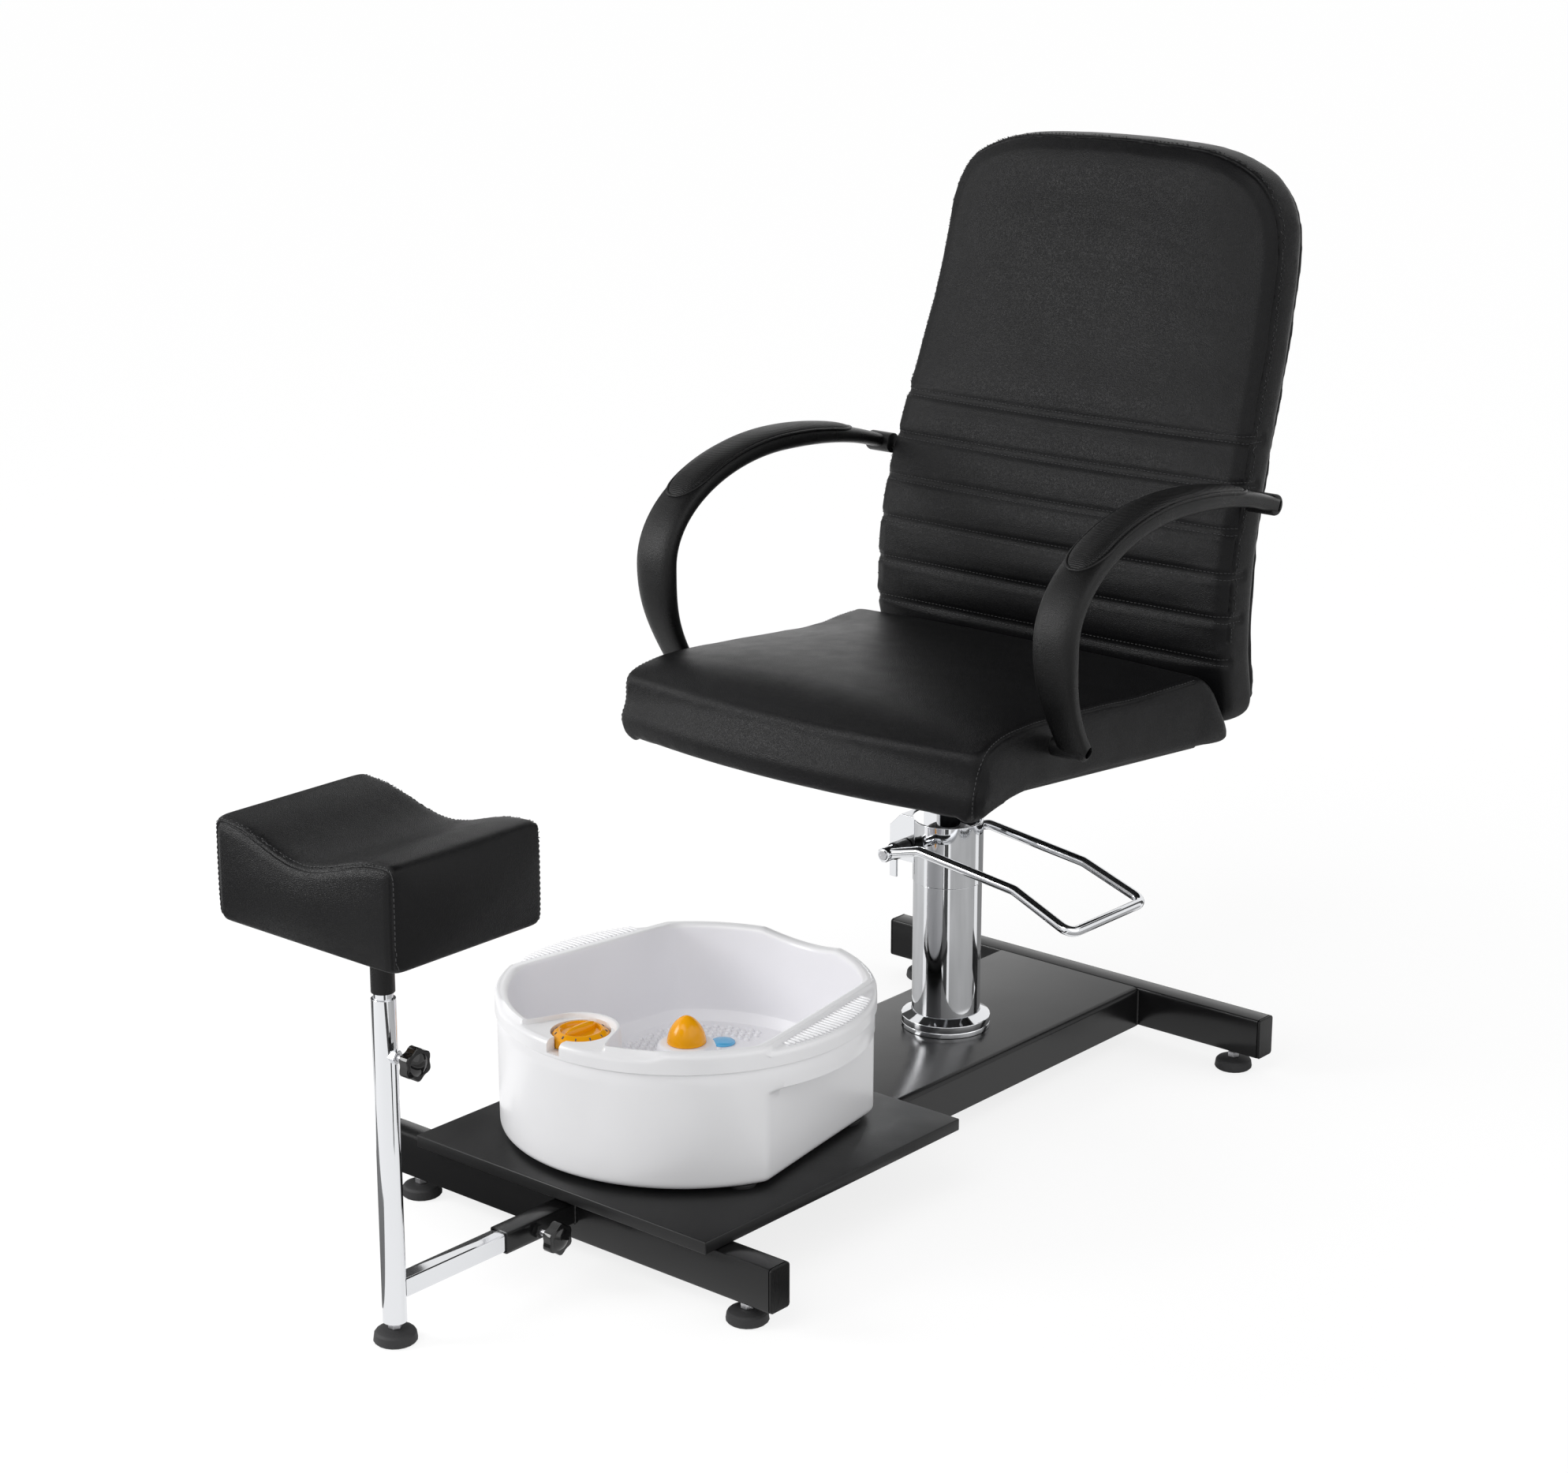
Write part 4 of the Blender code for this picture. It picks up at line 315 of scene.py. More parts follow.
def around(count):
    """Angles of a full turn."""
    return np.linspace(0, 2 * pi, count, endpoint=False)


def arc(*degrees):
    """Pairs of cosine and sine."""
    return [(cos(radians(angle)), sin(radians(angle))) for angle in degrees]


def skin_faces(count, sides):
    """Faces of a closed skin over rings of points, capped at both ends."""
    faces = [tuple(range(sides)), tuple(range((count - 1) * sides, count * sides))]
    for low in range(0, (count - 1) * sides, sides):
        for side in range(sides):
            after = (side + 1) % sides
            faces.append((low + side, low + after, low + sides + after, low + sides + side))
    return faces


def unit(vector):
    return vector / np.linalg.norm(vector, axis=-1, keepdims=True)


def loft(name, rings):
    """Closed skin over rings of as many points each."""
    rings = np.asarray(rings, float)
    return outward(add_object(name, rings.reshape(-1, 3), skin_faces(*rings.shape[:2])))


def scattered(name, clusters, sides):
    """One object of many small skins, each given by the points of its rings."""
    clusters = np.asarray(clusters)
    size = clusters.shape[1]
    pattern = skin_faces(size // sides, sides)
    starts = range(0, size * len(clusters), size)
    faces = [tuple(start + number for number in face) for start in starts for face in pattern]
    return outward(add_object(name, clusters.reshape(-1, 3), faces))


def turned(name, profile, place, sides=96, axis="Z"):
    """Solid of revolution from pairs of radius and height, none of them on the axis."""
    angles = around(sides)
    order = {"X": [2, 0, 1], "Y": [1, 2, 0], "Z": [0, 1, 2]}[axis]
    rings = []
    for radius, height in profile:
        ring = np.stack([radius * np.cos(angles), radius * np.sin(angles), np.full(sides, height)], 1)
        rings.append(ring[:, order] + np.asarray(place))
    return loft(name, rings)


def sweep(name, points, radii, sides):
    """Round bar along a path, with a radius for each of its points."""
    points = np.asarray(points, float)
    radii = np.broadcast_to(radii, len(points))
    along = unit(np.gradient(points, axis=0))
    angles = around(sides)
    across = np.cross(along[0], (0.31, 0.52, 0.79))
    rings = []
    for point, direction, radius in zip(points, along, radii):
        across = unit(across - direction * (across @ direction))
        upright = np.cross(direction, across)
        ring = np.cos(angles)[:, None] * across + np.sin(angles)[:, None] * upright
        rings.append(point + ring * radius)
    return loft(name, rings)


def rounded_path(corners, radius, steps=10, room=0.45):
    """Path through corners, each rounded by an arc where it has room."""
    path = [Vector(corners[0])]
    for before, corner, after in zip(corners, corners[1:], corners[2:]):
        corner = Vector(corner)
        back = Vector(before) - corner
        ahead = Vector(after) - corner
        half = back.normalized().angle(ahead.normalized()) / 2
        reach = min(radius / tan(half), room * back.length, room * ahead.length)
        back.normalize()
        ahead.normalize()
        centre = corner + (back + ahead).normalized() * reach / cos(half)
        first = corner + back * reach - centre
        last = corner + ahead * reach - centre
        path += [centre + first.slerp(last, step / steps) * first.length for step in range(steps + 1)]
    path.append(Vector(corners[-1]))
    return path


def cut(item, tool):
    modifier = item.modifiers.new("cut", "BOOLEAN")
    modifier.operation = "DIFFERENCE"
    modifier.solver = "EXACT"
    modifier.object = tool
    applied(item)
    bpy.data.objects.remove(tool)
    return item


def box_tool(low, high):
    corners = ((low[0], low[1]), (high[0], low[1]), (high[0], high[1]), (low[0], high[1]))
    return loft("tool", [[(x, y, z) for x, y in corners] for z in (low[2], high[2])])


def resampled(points, pitch, closed=False):
    """Points at an even pitch along a path."""
    points = np.asarray(points, float)
    if closed:
        points = np.vstack([points, points[:1]])
    run = np.concatenate([[0], np.cumsum(np.linalg.norm(np.diff(points, axis=0), axis=1))])
    count = max(2, int(round(run[-1] / pitch)) + (0 if closed else 1))
    at = np.linspace(0, run[-1], count, endpoint=not closed)
    return np.stack([np.interp(at, run, points[:, k]) for k in range(points.shape[1])], 1)


def smooth_min(a, b, reach):
    mix = np.clip(0.5 + 0.5 * (b - a) / reach, 0, 1)
    return b * (1 - mix) + a * mix - reach * mix * (1 - mix)


def ease(value):
    value = np.clip(value, 0, 1)
    return value * value * (3 - 2 * value)


# Materials

LOOKS = {}


def make_material(name, colour, roughness, **sockets):
    material = bpy.data.materials.new(name)
    material.use_nodes = True
    sockets.update(Base_Color=(*colour, 1), Roughness=roughness)
    for socket, value in sockets.items():
        shader_input(material, socket.replace("_", " ")).default_value = value
    LOOKS[name] = material
    return material


def shader_input(material, name):
    return material.node_tree.nodes["Principled BSDF"].inputs[name]


def add_node(tree, kind, output, **inputs):
    """Adds a node, sets or links its inputs and settings, and returns one of its outputs."""
    node = tree.nodes.new("ShaderNode" + kind)
    for name, value in inputs.items():
        socket = node.inputs.get(name.replace("_", " "))
        if socket is None:
            setattr(node, name, value)
        elif isinstance(value, bpy.types.NodeSocket):
            tree.links.new(value, socket)
        else:
            socket.default_value = value
    return node.outputs[output]


def noise(material, scale, detail=2.0, stretch=None):
    """Noise in the object's own space, which is the frame's."""
    tree = material.node_tree
    space = add_node(tree, "TexCoord", "Object")
    if stretch:
        space = add_node(tree, "Mapping", "Vector", Vector=space, Scale=stretch)
    return add_node(tree, "TexNoise", "Fac", Vector=space, Scale=scale, Detail=detail)


def cells(material, scale, feature="DISTANCE_TO_EDGE", randomness=1.0):
    tree = material.node_tree
    space = add_node(tree, "TexCoord", "Object")
    return add_node(tree, "TexVoronoi", "Distance", Vector=space, feature=feature, Scale=scale,
                    Randomness=randomness)


def vary(material, source, low, high):
    """Lets a texture move a shader's roughness between two values."""
    tree = material.node_tree
    value = add_node(tree, "MapRange", "Result", Value=source, From_Min=0.3, From_Max=0.7, To_Min=low,
                     To_Max=high)
    tree.links.new(value, shader_input(material, "Roughness"))


def tint(material, source, dark, light):
    """Lets a texture move a shader's colour between two colours."""
    tree = material.node_tree
    ramp = tree.nodes.new("ShaderNodeValToRGB")
    for element, position, colour in zip(ramp.color_ramp.elements, (0.3, 0.7), (dark, light)):
        element.position = position
        element.color = (*colour, 1)
    tree.links.new(source, ramp.inputs["Fac"])
    tree.links.new(ramp.outputs["Color"], shader_input(material, "Base Color"))


def bump(material, *layers):
    """Fine relief from pairs of a texture and its height."""
    tree = material.node_tree
    below = {}
    for source, height in layers:
        below["Normal"] = add_node(tree, "Bump", "Normal", Strength=1.0, Distance=height, Height=source,
                                   **below)
    tree.links.new(below["Normal"], shader_input(material, "Normal"))


def painted(name, shade_of_grey, low, high, grain, height, shine=0.5):
    """Plain coloured surface with a fine grain and a roughness that wanders."""
    colour = (shade_of_grey, shade_of_grey, shade_of_grey * 1.05)
    material = make_material(name, colour, low, Specular_IOR_Level=shine)
    vary(material, noise(material, 16.0), low, high)
    tint(material, noise(material, 5.0), colour, tuple(1.25 * part for part in colour))
    bump(material, (noise(material, grain), height))
    return material


def metal(name, colour, low, high, grain, height):
    material = make_material(name, colour, low, Metallic=1.0)
    vary(material, noise(material, 30.0), low, high)
    bump(material, (noise(material, grain), height))


def moulded(name, colour, roughness, coat=0.0, shine=0.5):
    material = make_material(name, colour, roughness, Coat_Weight=coat, Coat_Roughness=0.06,
                             Specular_IOR_Level=shine)
    tint(material, noise(material, 9.0), tuple(0.97 * part for part in colour), colour)
    bump(material, (noise(material, 240.0), 0.00002))


def leather(name):
    material = make_material(name, (0.006, 0.006, 0.0065), 0.36, Specular_IOR_Level=0.15)
    vary(material, noise(material, 38.0, 4.0), 0.32, 0.38)
    tint(material, noise(material, 12.0, 3.0), (0.005, 0.005, 0.0055), (0.0075, 0.0075, 0.008))
    bump(material, (noise(material, 26.0, 3.0), 0.0002), (cells(material, 620.0), 0.0004),
         (noise(material, 900.0), 0.0002))


def plywood(name):
    material = make_material(name, (0.42, 0.29, 0.17), 0.6)
    grain = noise(material, 40.0, 4.0, (0.25, 4.0, 8.0))
    tint(material, grain, (0.33, 0.21, 0.11), (0.50, 0.36, 0.22))
    bump(material, (grain, 0.0003))


painted("black_powder_coat", 0.006, 0.16, 0.25, 900.0, 0.00006, 0.32)
painted("black_board", 0.007, 0.36, 0.46, 700.0, 0.00010, 0.34)
painted("black_plastic", 0.004, 0.25, 0.33, 1100.0, 0.0005, 0.26)
painted("gloss_black_plastic", 0.005, 0.06, 0.11, 300.0, 0.00002)
painted("black_rubber", 0.020, 0.60, 0.78, 500.0, 0.00015)
painted("cast_black", 0.020, 0.40, 0.60, 260.0, 0.00035)
painted("mark", 0.075, 0.45, 0.6, 400.0, 0.00002)
painted("thread", 0.03, 0.40, 0.55, 2500.0, 0.0002)
soft = painted("soft_black", 0.004, 0.36, 0.46, 900.0, 0.0001, 0.3)
bump(soft, (cells(soft, 560.0, "F1", 0.0), 0.0007), (noise(soft, 900.0), 0.0001))
metal("chrome", (0.76, 0.77, 0.79), 0.04, 0.08, 60.0, 0.00001)
metal("zinc", (0.62, 0.62, 0.64), 0.24, 0.40, 700.0, 0.00008)
moulded("white_plastic", (0.855, 0.855, 0.87), 0.28, 0.15)
# Inside of the basin and its nubs: a slightly lilac-grey copy of the white plastic, a painted shade tint
# for the hollow of the basin
moulded("basin_plastic_painted_shade", (0.855, 0.85, 0.88), 0.38)
moulded("orange_plastic", (0.91, 0.385, 0.002), 0.16, 0.04, 0.3)
moulded("blue_lens", (0.10, 0.44, 0.76), 0.12, 0.5)
leather("black_leather")
plywood("plywood")
SLOTS = {part["node"]: part["material_slot"] for part in frame["record"]["subparts"]}


def place(item, body, look, nodes=(), slot=None):
    """Gives a piece its material and its body, and hides the solids it stands for."""
    item.data.materials.clear()
    item.data.materials.append(LOOKS[look])
    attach(item, body)
    if nodes:
        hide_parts(*nodes)
    return item


def welded(node):
    """Empty object for the skin of a solid, and the solid's welded mesh."""
    item = add_object(f"{node}_skin", [], [])
    bm = edit(frame["nodes"][node])
    bmesh.ops.remove_doubles(bm, verts=bm.verts, dist=WELD)
    return item, bm


def dressed(node):
    """Welded, smooth copy of a solid with softened edges, in its place."""
    item, bm = welded(node)
    bmesh.ops.dissolve_limit(bm, angle_limit=radians(0.4), verts=bm.verts, edges=bm.edges)
    store(bm, item)
    shade(item, SHARP)
    bevel = item.modifiers.new("edge", "BEVEL")
    bevel.width = EDGE
    bevel.segments = EDGE_SEGMENTS
    bevel.limit_method = "ANGLE"
    bevel.angle_limit = radians(SHARP)
    bevel.harden_normals = True
    applied(item)
    place(item, body_of(frame["nodes"][node])[0], SLOTS[node], [node])


# Cushions

def vectors(collection, name):
    values = np.empty(len(collection) * 3)
    collection.foreach_get(name, values)
    return values.reshape(-1, 3)


def points_of(item):
    return vectors(item.data.vertices, "co")


def normals_of(item):
    return vectors(item.data.vertex_normals, "vector")


def set_points(item, points):
    item.data.vertices.foreach_set("co", np.asarray(points, float).ravel())
    item.data.update()


def soft_copy(node, voxel, rounds):
    """Even, smooth mesh over a solid of the frame."""
    item, bm = welded(node)
    bmesh.ops.join_triangles(bm, faces=bm.faces, angle_face_threshold=1.2, angle_shape_threshold=3.1)
    store(bm, item)
    item.modifiers.new("round", "SUBSURF").levels = 2
    remesh = item.modifiers.new("even", "REMESH")
    remesh.mode = "VOXEL"
    remesh.voxel_size = voxel
    smooth = item.modifiers.new("smooth", "SMOOTH")
    smooth.factor = 0.5
    smooth.iterations = rounds
    return applied(item)


def edges_of(normals):
    """One where a cushion turns from one face to the next, nought on its faces."""
    return 1 - ease((np.abs(normals).max(1) - 0.82) / 0.12)


def swell(item, held, cap):
    """Blows a cushion up as cloth that is held at some points, each moving no further than the cap."""
    start = points_of(item) - normals_of(item) * (SLACK * (1 - held))[:, None]
    set_points(item, start)
    group = item.vertex_groups.new(name="held")
    for index in np.nonzero(held > 0.02)[0]:
        group.add([int(index)], float(held[index]), "REPLACE")
    cloth = item.modifiers.new("swell", "CLOTH")
    for name, value in CLOTH.items():
        setattr(cloth.settings, name, value)
    cloth.settings.effector_weights.gravity = 0
    cloth.collision_settings.use_collision = False
    cloth.point_cache.frame_start = 1
    cloth.point_cache.frame_end = SWELL_FRAMES
    scene = bpy.context.scene
    for step in range(1, SWELL_FRAMES + 1):
        scene.frame_set(step)
    depsgraph = bpy.context.evaluated_depsgraph_get()
    move = vectors(item.evaluated_get(depsgraph).to_mesh().vertices, "co") - start
    length = np.maximum(np.linalg.norm(move, axis=1), 1e-9)
    item.modifiers.clear()
    item.vertex_groups.clear()
    scene.frame_set(1)
    set_points(item, start + move * np.minimum(1, cap / length)[:, None])


def refined(item, rounds):
    """One subdivision, after a little smoothing."""
    item.modifiers.new("smooth", "SMOOTH").iterations = rounds
    item.modifiers.new("finer", "SUBSURF").levels = 1
    applied(item)


def surface_of(item):
    points = [tuple(point) for point in points_of(item)]
    faces = [tuple(face.vertices) for face in item.data.polygons]
    return BVHTree.FromPolygons(points, faces)


def cast(surface, start, direction):
    """Place and normal where a ray meets a cushion, or nothing."""
    hit, normal, index, distance = surface.ray_cast(Vector(start), Vector(direction))
    return None if hit is None else (np.array(hit), np.array(normal))


def laid(surface, starts, direction):
    """Path of the places where rays meet a cushion."""
    hits = [cast(surface, start, direction) for start in starts]
    return np.array([hit[0] for hit in hits if hit])


def brinks(surface, runs, direction, share):
    """Path of the places where a cushion turns towards a direction; each run of rays starts outside it."""
    path = []
    for run in runs:
        for start in run:
            hit = cast(surface, start, direction)
            if hit and -np.asarray(direction) @ hit[1] > share:
                path.append(hit[0])
                break
    return smoothed(resampled(np.array(path), SEAM_STEP), 40)


def smoothed(path, rounds):
    """Path with its small kinks evened out; its ends stay."""
    for step in range(rounds):
        path[1:-1] = (path[:-2] + 2 * path[1:-1] + path[2:]) / 4
    return path


def nearest(paths, points):
    """Distance of each point to the nearest of some paths, where it is less than a crease's reach."""
    result = np.full(len(points), np.inf)
    for path in paths:
        path = resampled(path, CREASE_STEP)
        tree = KDTree(len(path))
        for index, point in enumerate(path):
            tree.insert(point, index)
        tree.balance()
        low = path.min(0) - CREASE_REACH
        high = path.max(0) + CREASE_REACH
        for index in np.nonzero(((points > low) & (points < high)).all(1))[0]:
            result[index] = min(result[index], tree.find(points[index])[2])
    return result


def crease(item, paths, width, depth, fine=False):
    """Presses seams into a cushion, on a finer mesh along them if asked for."""
    points = points_of(item)
    close = nearest(paths, points)
    if fine:
        bm = edit(item)
        edges = [line for line in bm.edges if max(close[end.index] for end in line.verts) < CREASE_FINE]
        bmesh.ops.subdivide_edges(bm, edges=edges, cuts=1, use_grid_fill=True, smooth=0)
        store(bm, item)
        points = points_of(item)
        close = nearest(paths, points)
    press = depth * np.clip(1 - (close / width) ** 2, 0, 1) ** 2
    set_points(item, points - normals_of(item) * press[:, None])


def cover(item, body, node):
    """Makes a finished cushion stand for its solid; returns its surface."""
    shade(item, COVER_SHARP)
    place(item, body, "black_leather", [node])
    return surface_of(item)


def stitches(name, surface, paths, body):
    """Rows of short threads that dip into a cushion at both ends."""
    spots, runs, ups = [], [], []
    for path in paths:
        path = resampled(path, STITCH_PITCH)
        for spot, run in zip(path, np.gradient(path, axis=0)):
            hit, normal, index, distance = surface.find_nearest(Vector(spot))
            spots.append(np.array(hit))
            ups.append(np.array(normal))
            runs.append(unit(run))
    spots, runs, ups = np.array(spots), np.array(runs), np.array(ups)
    sides = unit(np.cross(runs, ups))
    rings = []
    for at, lift, girth in STITCH_RINGS:
        middle = spots + runs * (at * STITCH_LENGTH) + ups * (lift * STITCH_RADIUS)
        reach = STITCH_RADIUS * girth
        for turn in around(STITCH_SIDES):
            rings.append(middle + sides * (cos(turn) * reach) + ups * (sin(turn) * reach))
    item = scattered(name, np.stack(rings, 1), STITCH_SIDES)
    item.data.shade_smooth()
    place(item, body, "thread", slot="black_leather")


def offset(surface, path, distance, towards):
    """Path moved along a cushion's surface, towards a direction."""
    moved = []
    for spot, run in zip(path, np.gradient(path, axis=0)):
        hit, normal, index, away = surface.find_nearest(Vector(spot))
        side = np.cross(run, np.array(normal))
        side /= max(np.linalg.norm(side), 1e-9)
        if side @ np.asarray(towards(spot)) < 0:
            side = -side
        moved.append(spot + side * distance)
    return np.array(moved)


def outline_of(points):
    """Convex outline of points in a plane, as a dense closed path."""
    points = points[np.lexsort((points[:, 1], points[:, 0]))]

    def half(run):
        chain = []
        for point in run:
            while len(chain) > 1 and np.cross(chain[-1] - chain[-2], point - chain[-1]) <= 0:
                chain.pop()
            chain.append(point)
        return chain[:-1]

    return resampled(np.array(half(points) + half(points[::-1])), 0.004, True)


def back_cushion():
    item = soft_copy("back_cushion", VOXEL, 5)
    points = points_of(item)
    heights = CHANNEL_TOP - CHANNEL_PITCH * np.arange(CHANNEL_COUNT)
    near = np.abs(points[:, 2][:, None] - heights[None, :]).min(1)
    front = ease((-normals_of(item)[:, 1] - 0.72) / 0.2)
    held = np.maximum(1 - front, ease((0.010 - near) / 0.006))
    held = np.maximum(held, ease((BACK_LOW.z + 0.05 - points[:, 2]) / 0.03))
    swell(item, held, 0.0065)
    refined(item, 8)
    surface = surface_of(item)

    hull = outline_of(points_of(item)[:, [0, 2]])
    rim = hull[hull[:, 1] > SEAT_HIGH.z - 0.005]
    rim = rim[np.argsort(np.arctan2(rim[:, 0], rim[:, 1] - BACK_MIDDLE))]
    ahead = BACK_LOW.y - AHEAD
    middle = np.array((0.0, 0.0, BACK_MIDDLE))
    runs = []
    for x, z in rim:
        inward = np.array((-x, BACK_MIDDLE - z)) / hypot(x, BACK_MIDDLE - z)
        steps = np.arange(0.001, 0.03, 0.001)
        runs.append([(x + inward[0] * step, ahead, z + inward[1] * step) for step in steps])
    edge = brinks(surface, runs, (0, 1, 0), GUSSET_TURN)
    channels = []
    for height in heights:
        reach = np.abs(rim[np.argsort(np.abs(rim[:, 1] - height))[:2], 0]).min()
        across = np.linspace(-reach, reach, CHANNEL_STEPS)
        channels.append(laid(surface, [(x, ahead, height) for x in across], (0, 1, 0)))
    valley = offset(surface, edge, VALLEY, lambda spot: (middle - spot) * (1, 0, 1))
    crease(item, [valley], 0.013, 0.0020)
    crease(item, channels, 0.010, 0.0028)
    crease(item, channels + [edge], SEAM_WIDTH, SEAM_DEPTH, fine=True)
    surface = cover(item, "seat", "back_cushion")
    rows = [path + (0, 0, shift) for path in channels for shift in (-ROW_OFFSET, ROW_OFFSET)]
    rows.append(offset(surface, edge, EDGE_ROW, lambda spot: (spot - middle) * (1, 0, 1) + (0, 0.5, 0)))
    stitches("back_stitches", surface, rows, "seat")


def waterfall(points):
    """Rounds the seat's front edge further: from a squarish curve to a fuller one."""
    u = np.clip((FRONT_Y - points[:, 1]) / (FRONT_Y - SEAT_LOW.y), 0, None)
    v = np.clip((points[:, 2] - FRONT_Z) / FRONT_RISE, 0, None)
    square = (u ** FRONT_SQUARENESS + v ** FRONT_SQUARENESS) ** (1 / FRONT_SQUARENESS)
    full = (u ** FRONT_FULLNESS + v ** FRONT_FULLNESS) ** (1 / FRONT_FULLNESS)
    share = np.where((u > 0) & (v > 0), square / np.maximum(full, 1e-6), 1.0)[:, None]
    centre = np.stack([points[:, 0], np.full(len(points), FRONT_Y), np.full(len(points), FRONT_Z)], 1)
    rolled = centre + (points - centre) * share
    tuck = ease((FRONT_TUCK_TOP - rolled[:, 2]) / (FRONT_TUCK_TOP - SEAT_LOW.z)) * np.minimum(u, 1)
    rolled[:, 1] += FRONT_TUCK * tuck
    rolled[:, 0] -= FRONT_TUCK * tuck * np.clip(rolled[:, 0] / SEAT_HIGH.x, -1, 1) ** 3
    return rolled


def seat_cushion():
    item = soft_copy("seat_cushion", VOXEL, 4)
    normals = normals_of(item)
    held = np.maximum(edges_of(normals), ease((-normals[:, 2] - 0.2) / 0.4))
    held = np.maximum(held, ease((points_of(item)[:, 1] - SEAT_HIGH.y + 0.09) / 0.05))
    swell(item, held, 0.006)
    refined(item, 4)
    points = points_of(item)
    outside = ease((np.abs(points[:, 0]) - SKIRT_X) / 0.012)
    points[:, 2] -= SKIRT * outside * ease((-normals_of(item)[:, 2] + 0.25) / 0.5)
    set_points(item, waterfall(points))
    surface = surface_of(item)
    seams = []
    for side in (-1, 1):
        outside = side * 0.4
        runs = []
        for y in np.arange(SEAT_HIGH.y - 0.075, FRONT_Y, -0.006):
            runs.append([(outside, y, z) for z in np.arange(SEAT_HIGH.z, 0.46, -RAY_STEP)])
        for angle in np.radians(np.arange(80, 1, -5)):
            ray = np.array((-cos(angle), sin(angle)))
            middle = np.array((FRONT_Y, FRONT_Z))
            runs.append([(outside, *(middle + ray * away)) for away in np.arange(0.11, 0.01, -RAY_STEP)])
        for z in np.arange(FRONT_Z, SEAT_LOW.z + 0.004, -0.003):
            runs.append([(outside, y, z) for y in np.arange(SEAT_LOW.y, FRONT_Y, RAY_STEP)])
        seams.append(brinks(surface, runs, (-side, 0, 0), SIDE_TURN))
    rows = [smoothed(offset(surface, path, SEAT_ROW, lambda spot: (-spot[0], 0, 0)), 12) for path in seams]
    crease(item, seams, 0.011, 0.002)
    crease(item, seams, SEAM_WIDTH, SEAM_DEPTH, fine=True)
    stitches("seat_stitches", cover(item, "seat", "seat_cushion"), rows, "seat")


def footrest_cushion():
    item = soft_copy("footrest_cushion", REST_VOXEL, 3)
    normals = normals_of(item)
    held = np.maximum(edges_of(normals), ease((-normals[:, 2] - 0.2) / 0.4))
    held = np.maximum(held, 0.92 * ease((normals[:, 2] - 0.3) / 0.4))
    swell(item, held, 0.008)
    refined(item, 9)
    middle = np.array((REST_LOW + REST_HIGH) / 2)
    half = np.array((REST_HIGH - REST_LOW) / 2)
    points = points_of(item)
    share = np.clip((points - middle) / half, -1, 1)
    bow = np.clip(1 - share ** 2, 0, 1)
    normals = normals_of(item)
    for axis, other in ((1, 0), (0, 1)):
        crown = REST_CROWN * bow[:, other] * bow[:, 2]
        points[:, axis] += crown * np.sign(share[:, axis]) * ease(np.abs(normals[:, axis]))
    set_points(item, points)
    surface = surface_of(item)
    seams = []
    for side in (-1, 1):
        end = middle[1] + side * half[1]
        across = np.linspace(-1, 1, 70) * (half[0] - REST_SEAM)
        top = laid(surface, [(x, end - side * 0.012, REST_HIGH.z + 0.1) for x in across], (0, 0, -1))
        top[:, 2] -= REST_SEAM / 2
        rise = np.arange(REST_LOW.z + 0.005, top[0, 2] - 0.006, 0.004)
        path = [(across[0], end, z) for z in rise]
        path += [(x, end, z) for x, y, z in top]
        path += [(across[-1], end, z) for z in rise[::-1]]
        path = smoothed(resampled(path, SEAM_STEP), 12)
        seams.append(np.array([surface.find_nearest(Vector(spot))[0] for spot in path]))
    crease(item, seams, 0.009, 0.0014)
    crease(item, seams, SEAM_WIDTH, SEAM_DEPTH, fine=True)
    surface = cover(item, "footrest_head", "footrest_cushion")
    rows = [offset(surface, path, REST_ROW, lambda spot: (spot - middle) * (1, -1, 1)) for path in seams]
    stitches("footrest_stitches", surface, rows, "footrest_head")


def back_panel():
    item = soft_copy("back_panel", PANEL_VOXEL, 3)
    refined(item, 1)
    cover(item, "seat", "back_panel")


# Arms

def arm_line(travel):
    """Place, direction, outward normal and section scale of an arm's middle line; travel is from 0 to 3."""
    span = min(int(travel), 2)
    t = travel - span
    a, b, c, d = (np.array(point) for point in ARM_CURVES[span])
    spot = a * (1 - t) ** 3 + b * 3 * t * (1 - t) ** 2 + c * 3 * t * t * (1 - t) + d * t ** 3
    slope = (b - a) * 3 * (1 - t) ** 2 + (c - b) * 6 * t * (1 - t) + (d - c) * 3 * t * t
    slope = unit(slope)
    scale = ARM_SCALES[span] + (ARM_SCALES[span + 1] - ARM_SCALES[span]) * float(ease(t))
    return spot, slope, np.array((-slope[1], slope[0])), scale


def arm_ring(side, spot, normal, across, out):
    ring = np.empty((len(across), 3))
    ring[:, 0] = side * ARM_X + across
    ring[:, 1:] = spot + normal * np.asarray(out)[:, None]
    return ring


def arm_section(side, spot, normal, scale):
    """Ring of an arm's rounded section."""
    angles = around(ARM_SIDES)
    power = 2 / ARM_SQUARENESS
    across = np.sign(np.cos(angles)) * np.abs(np.cos(angles)) ** power * (ARM_HALF_WIDTH * scale)
    out = np.sign(np.sin(angles)) * np.abs(np.sin(angles)) ** power * (ARM_HALF_THICKNESS * scale)
    return arm_ring(side, spot, normal, across, out)


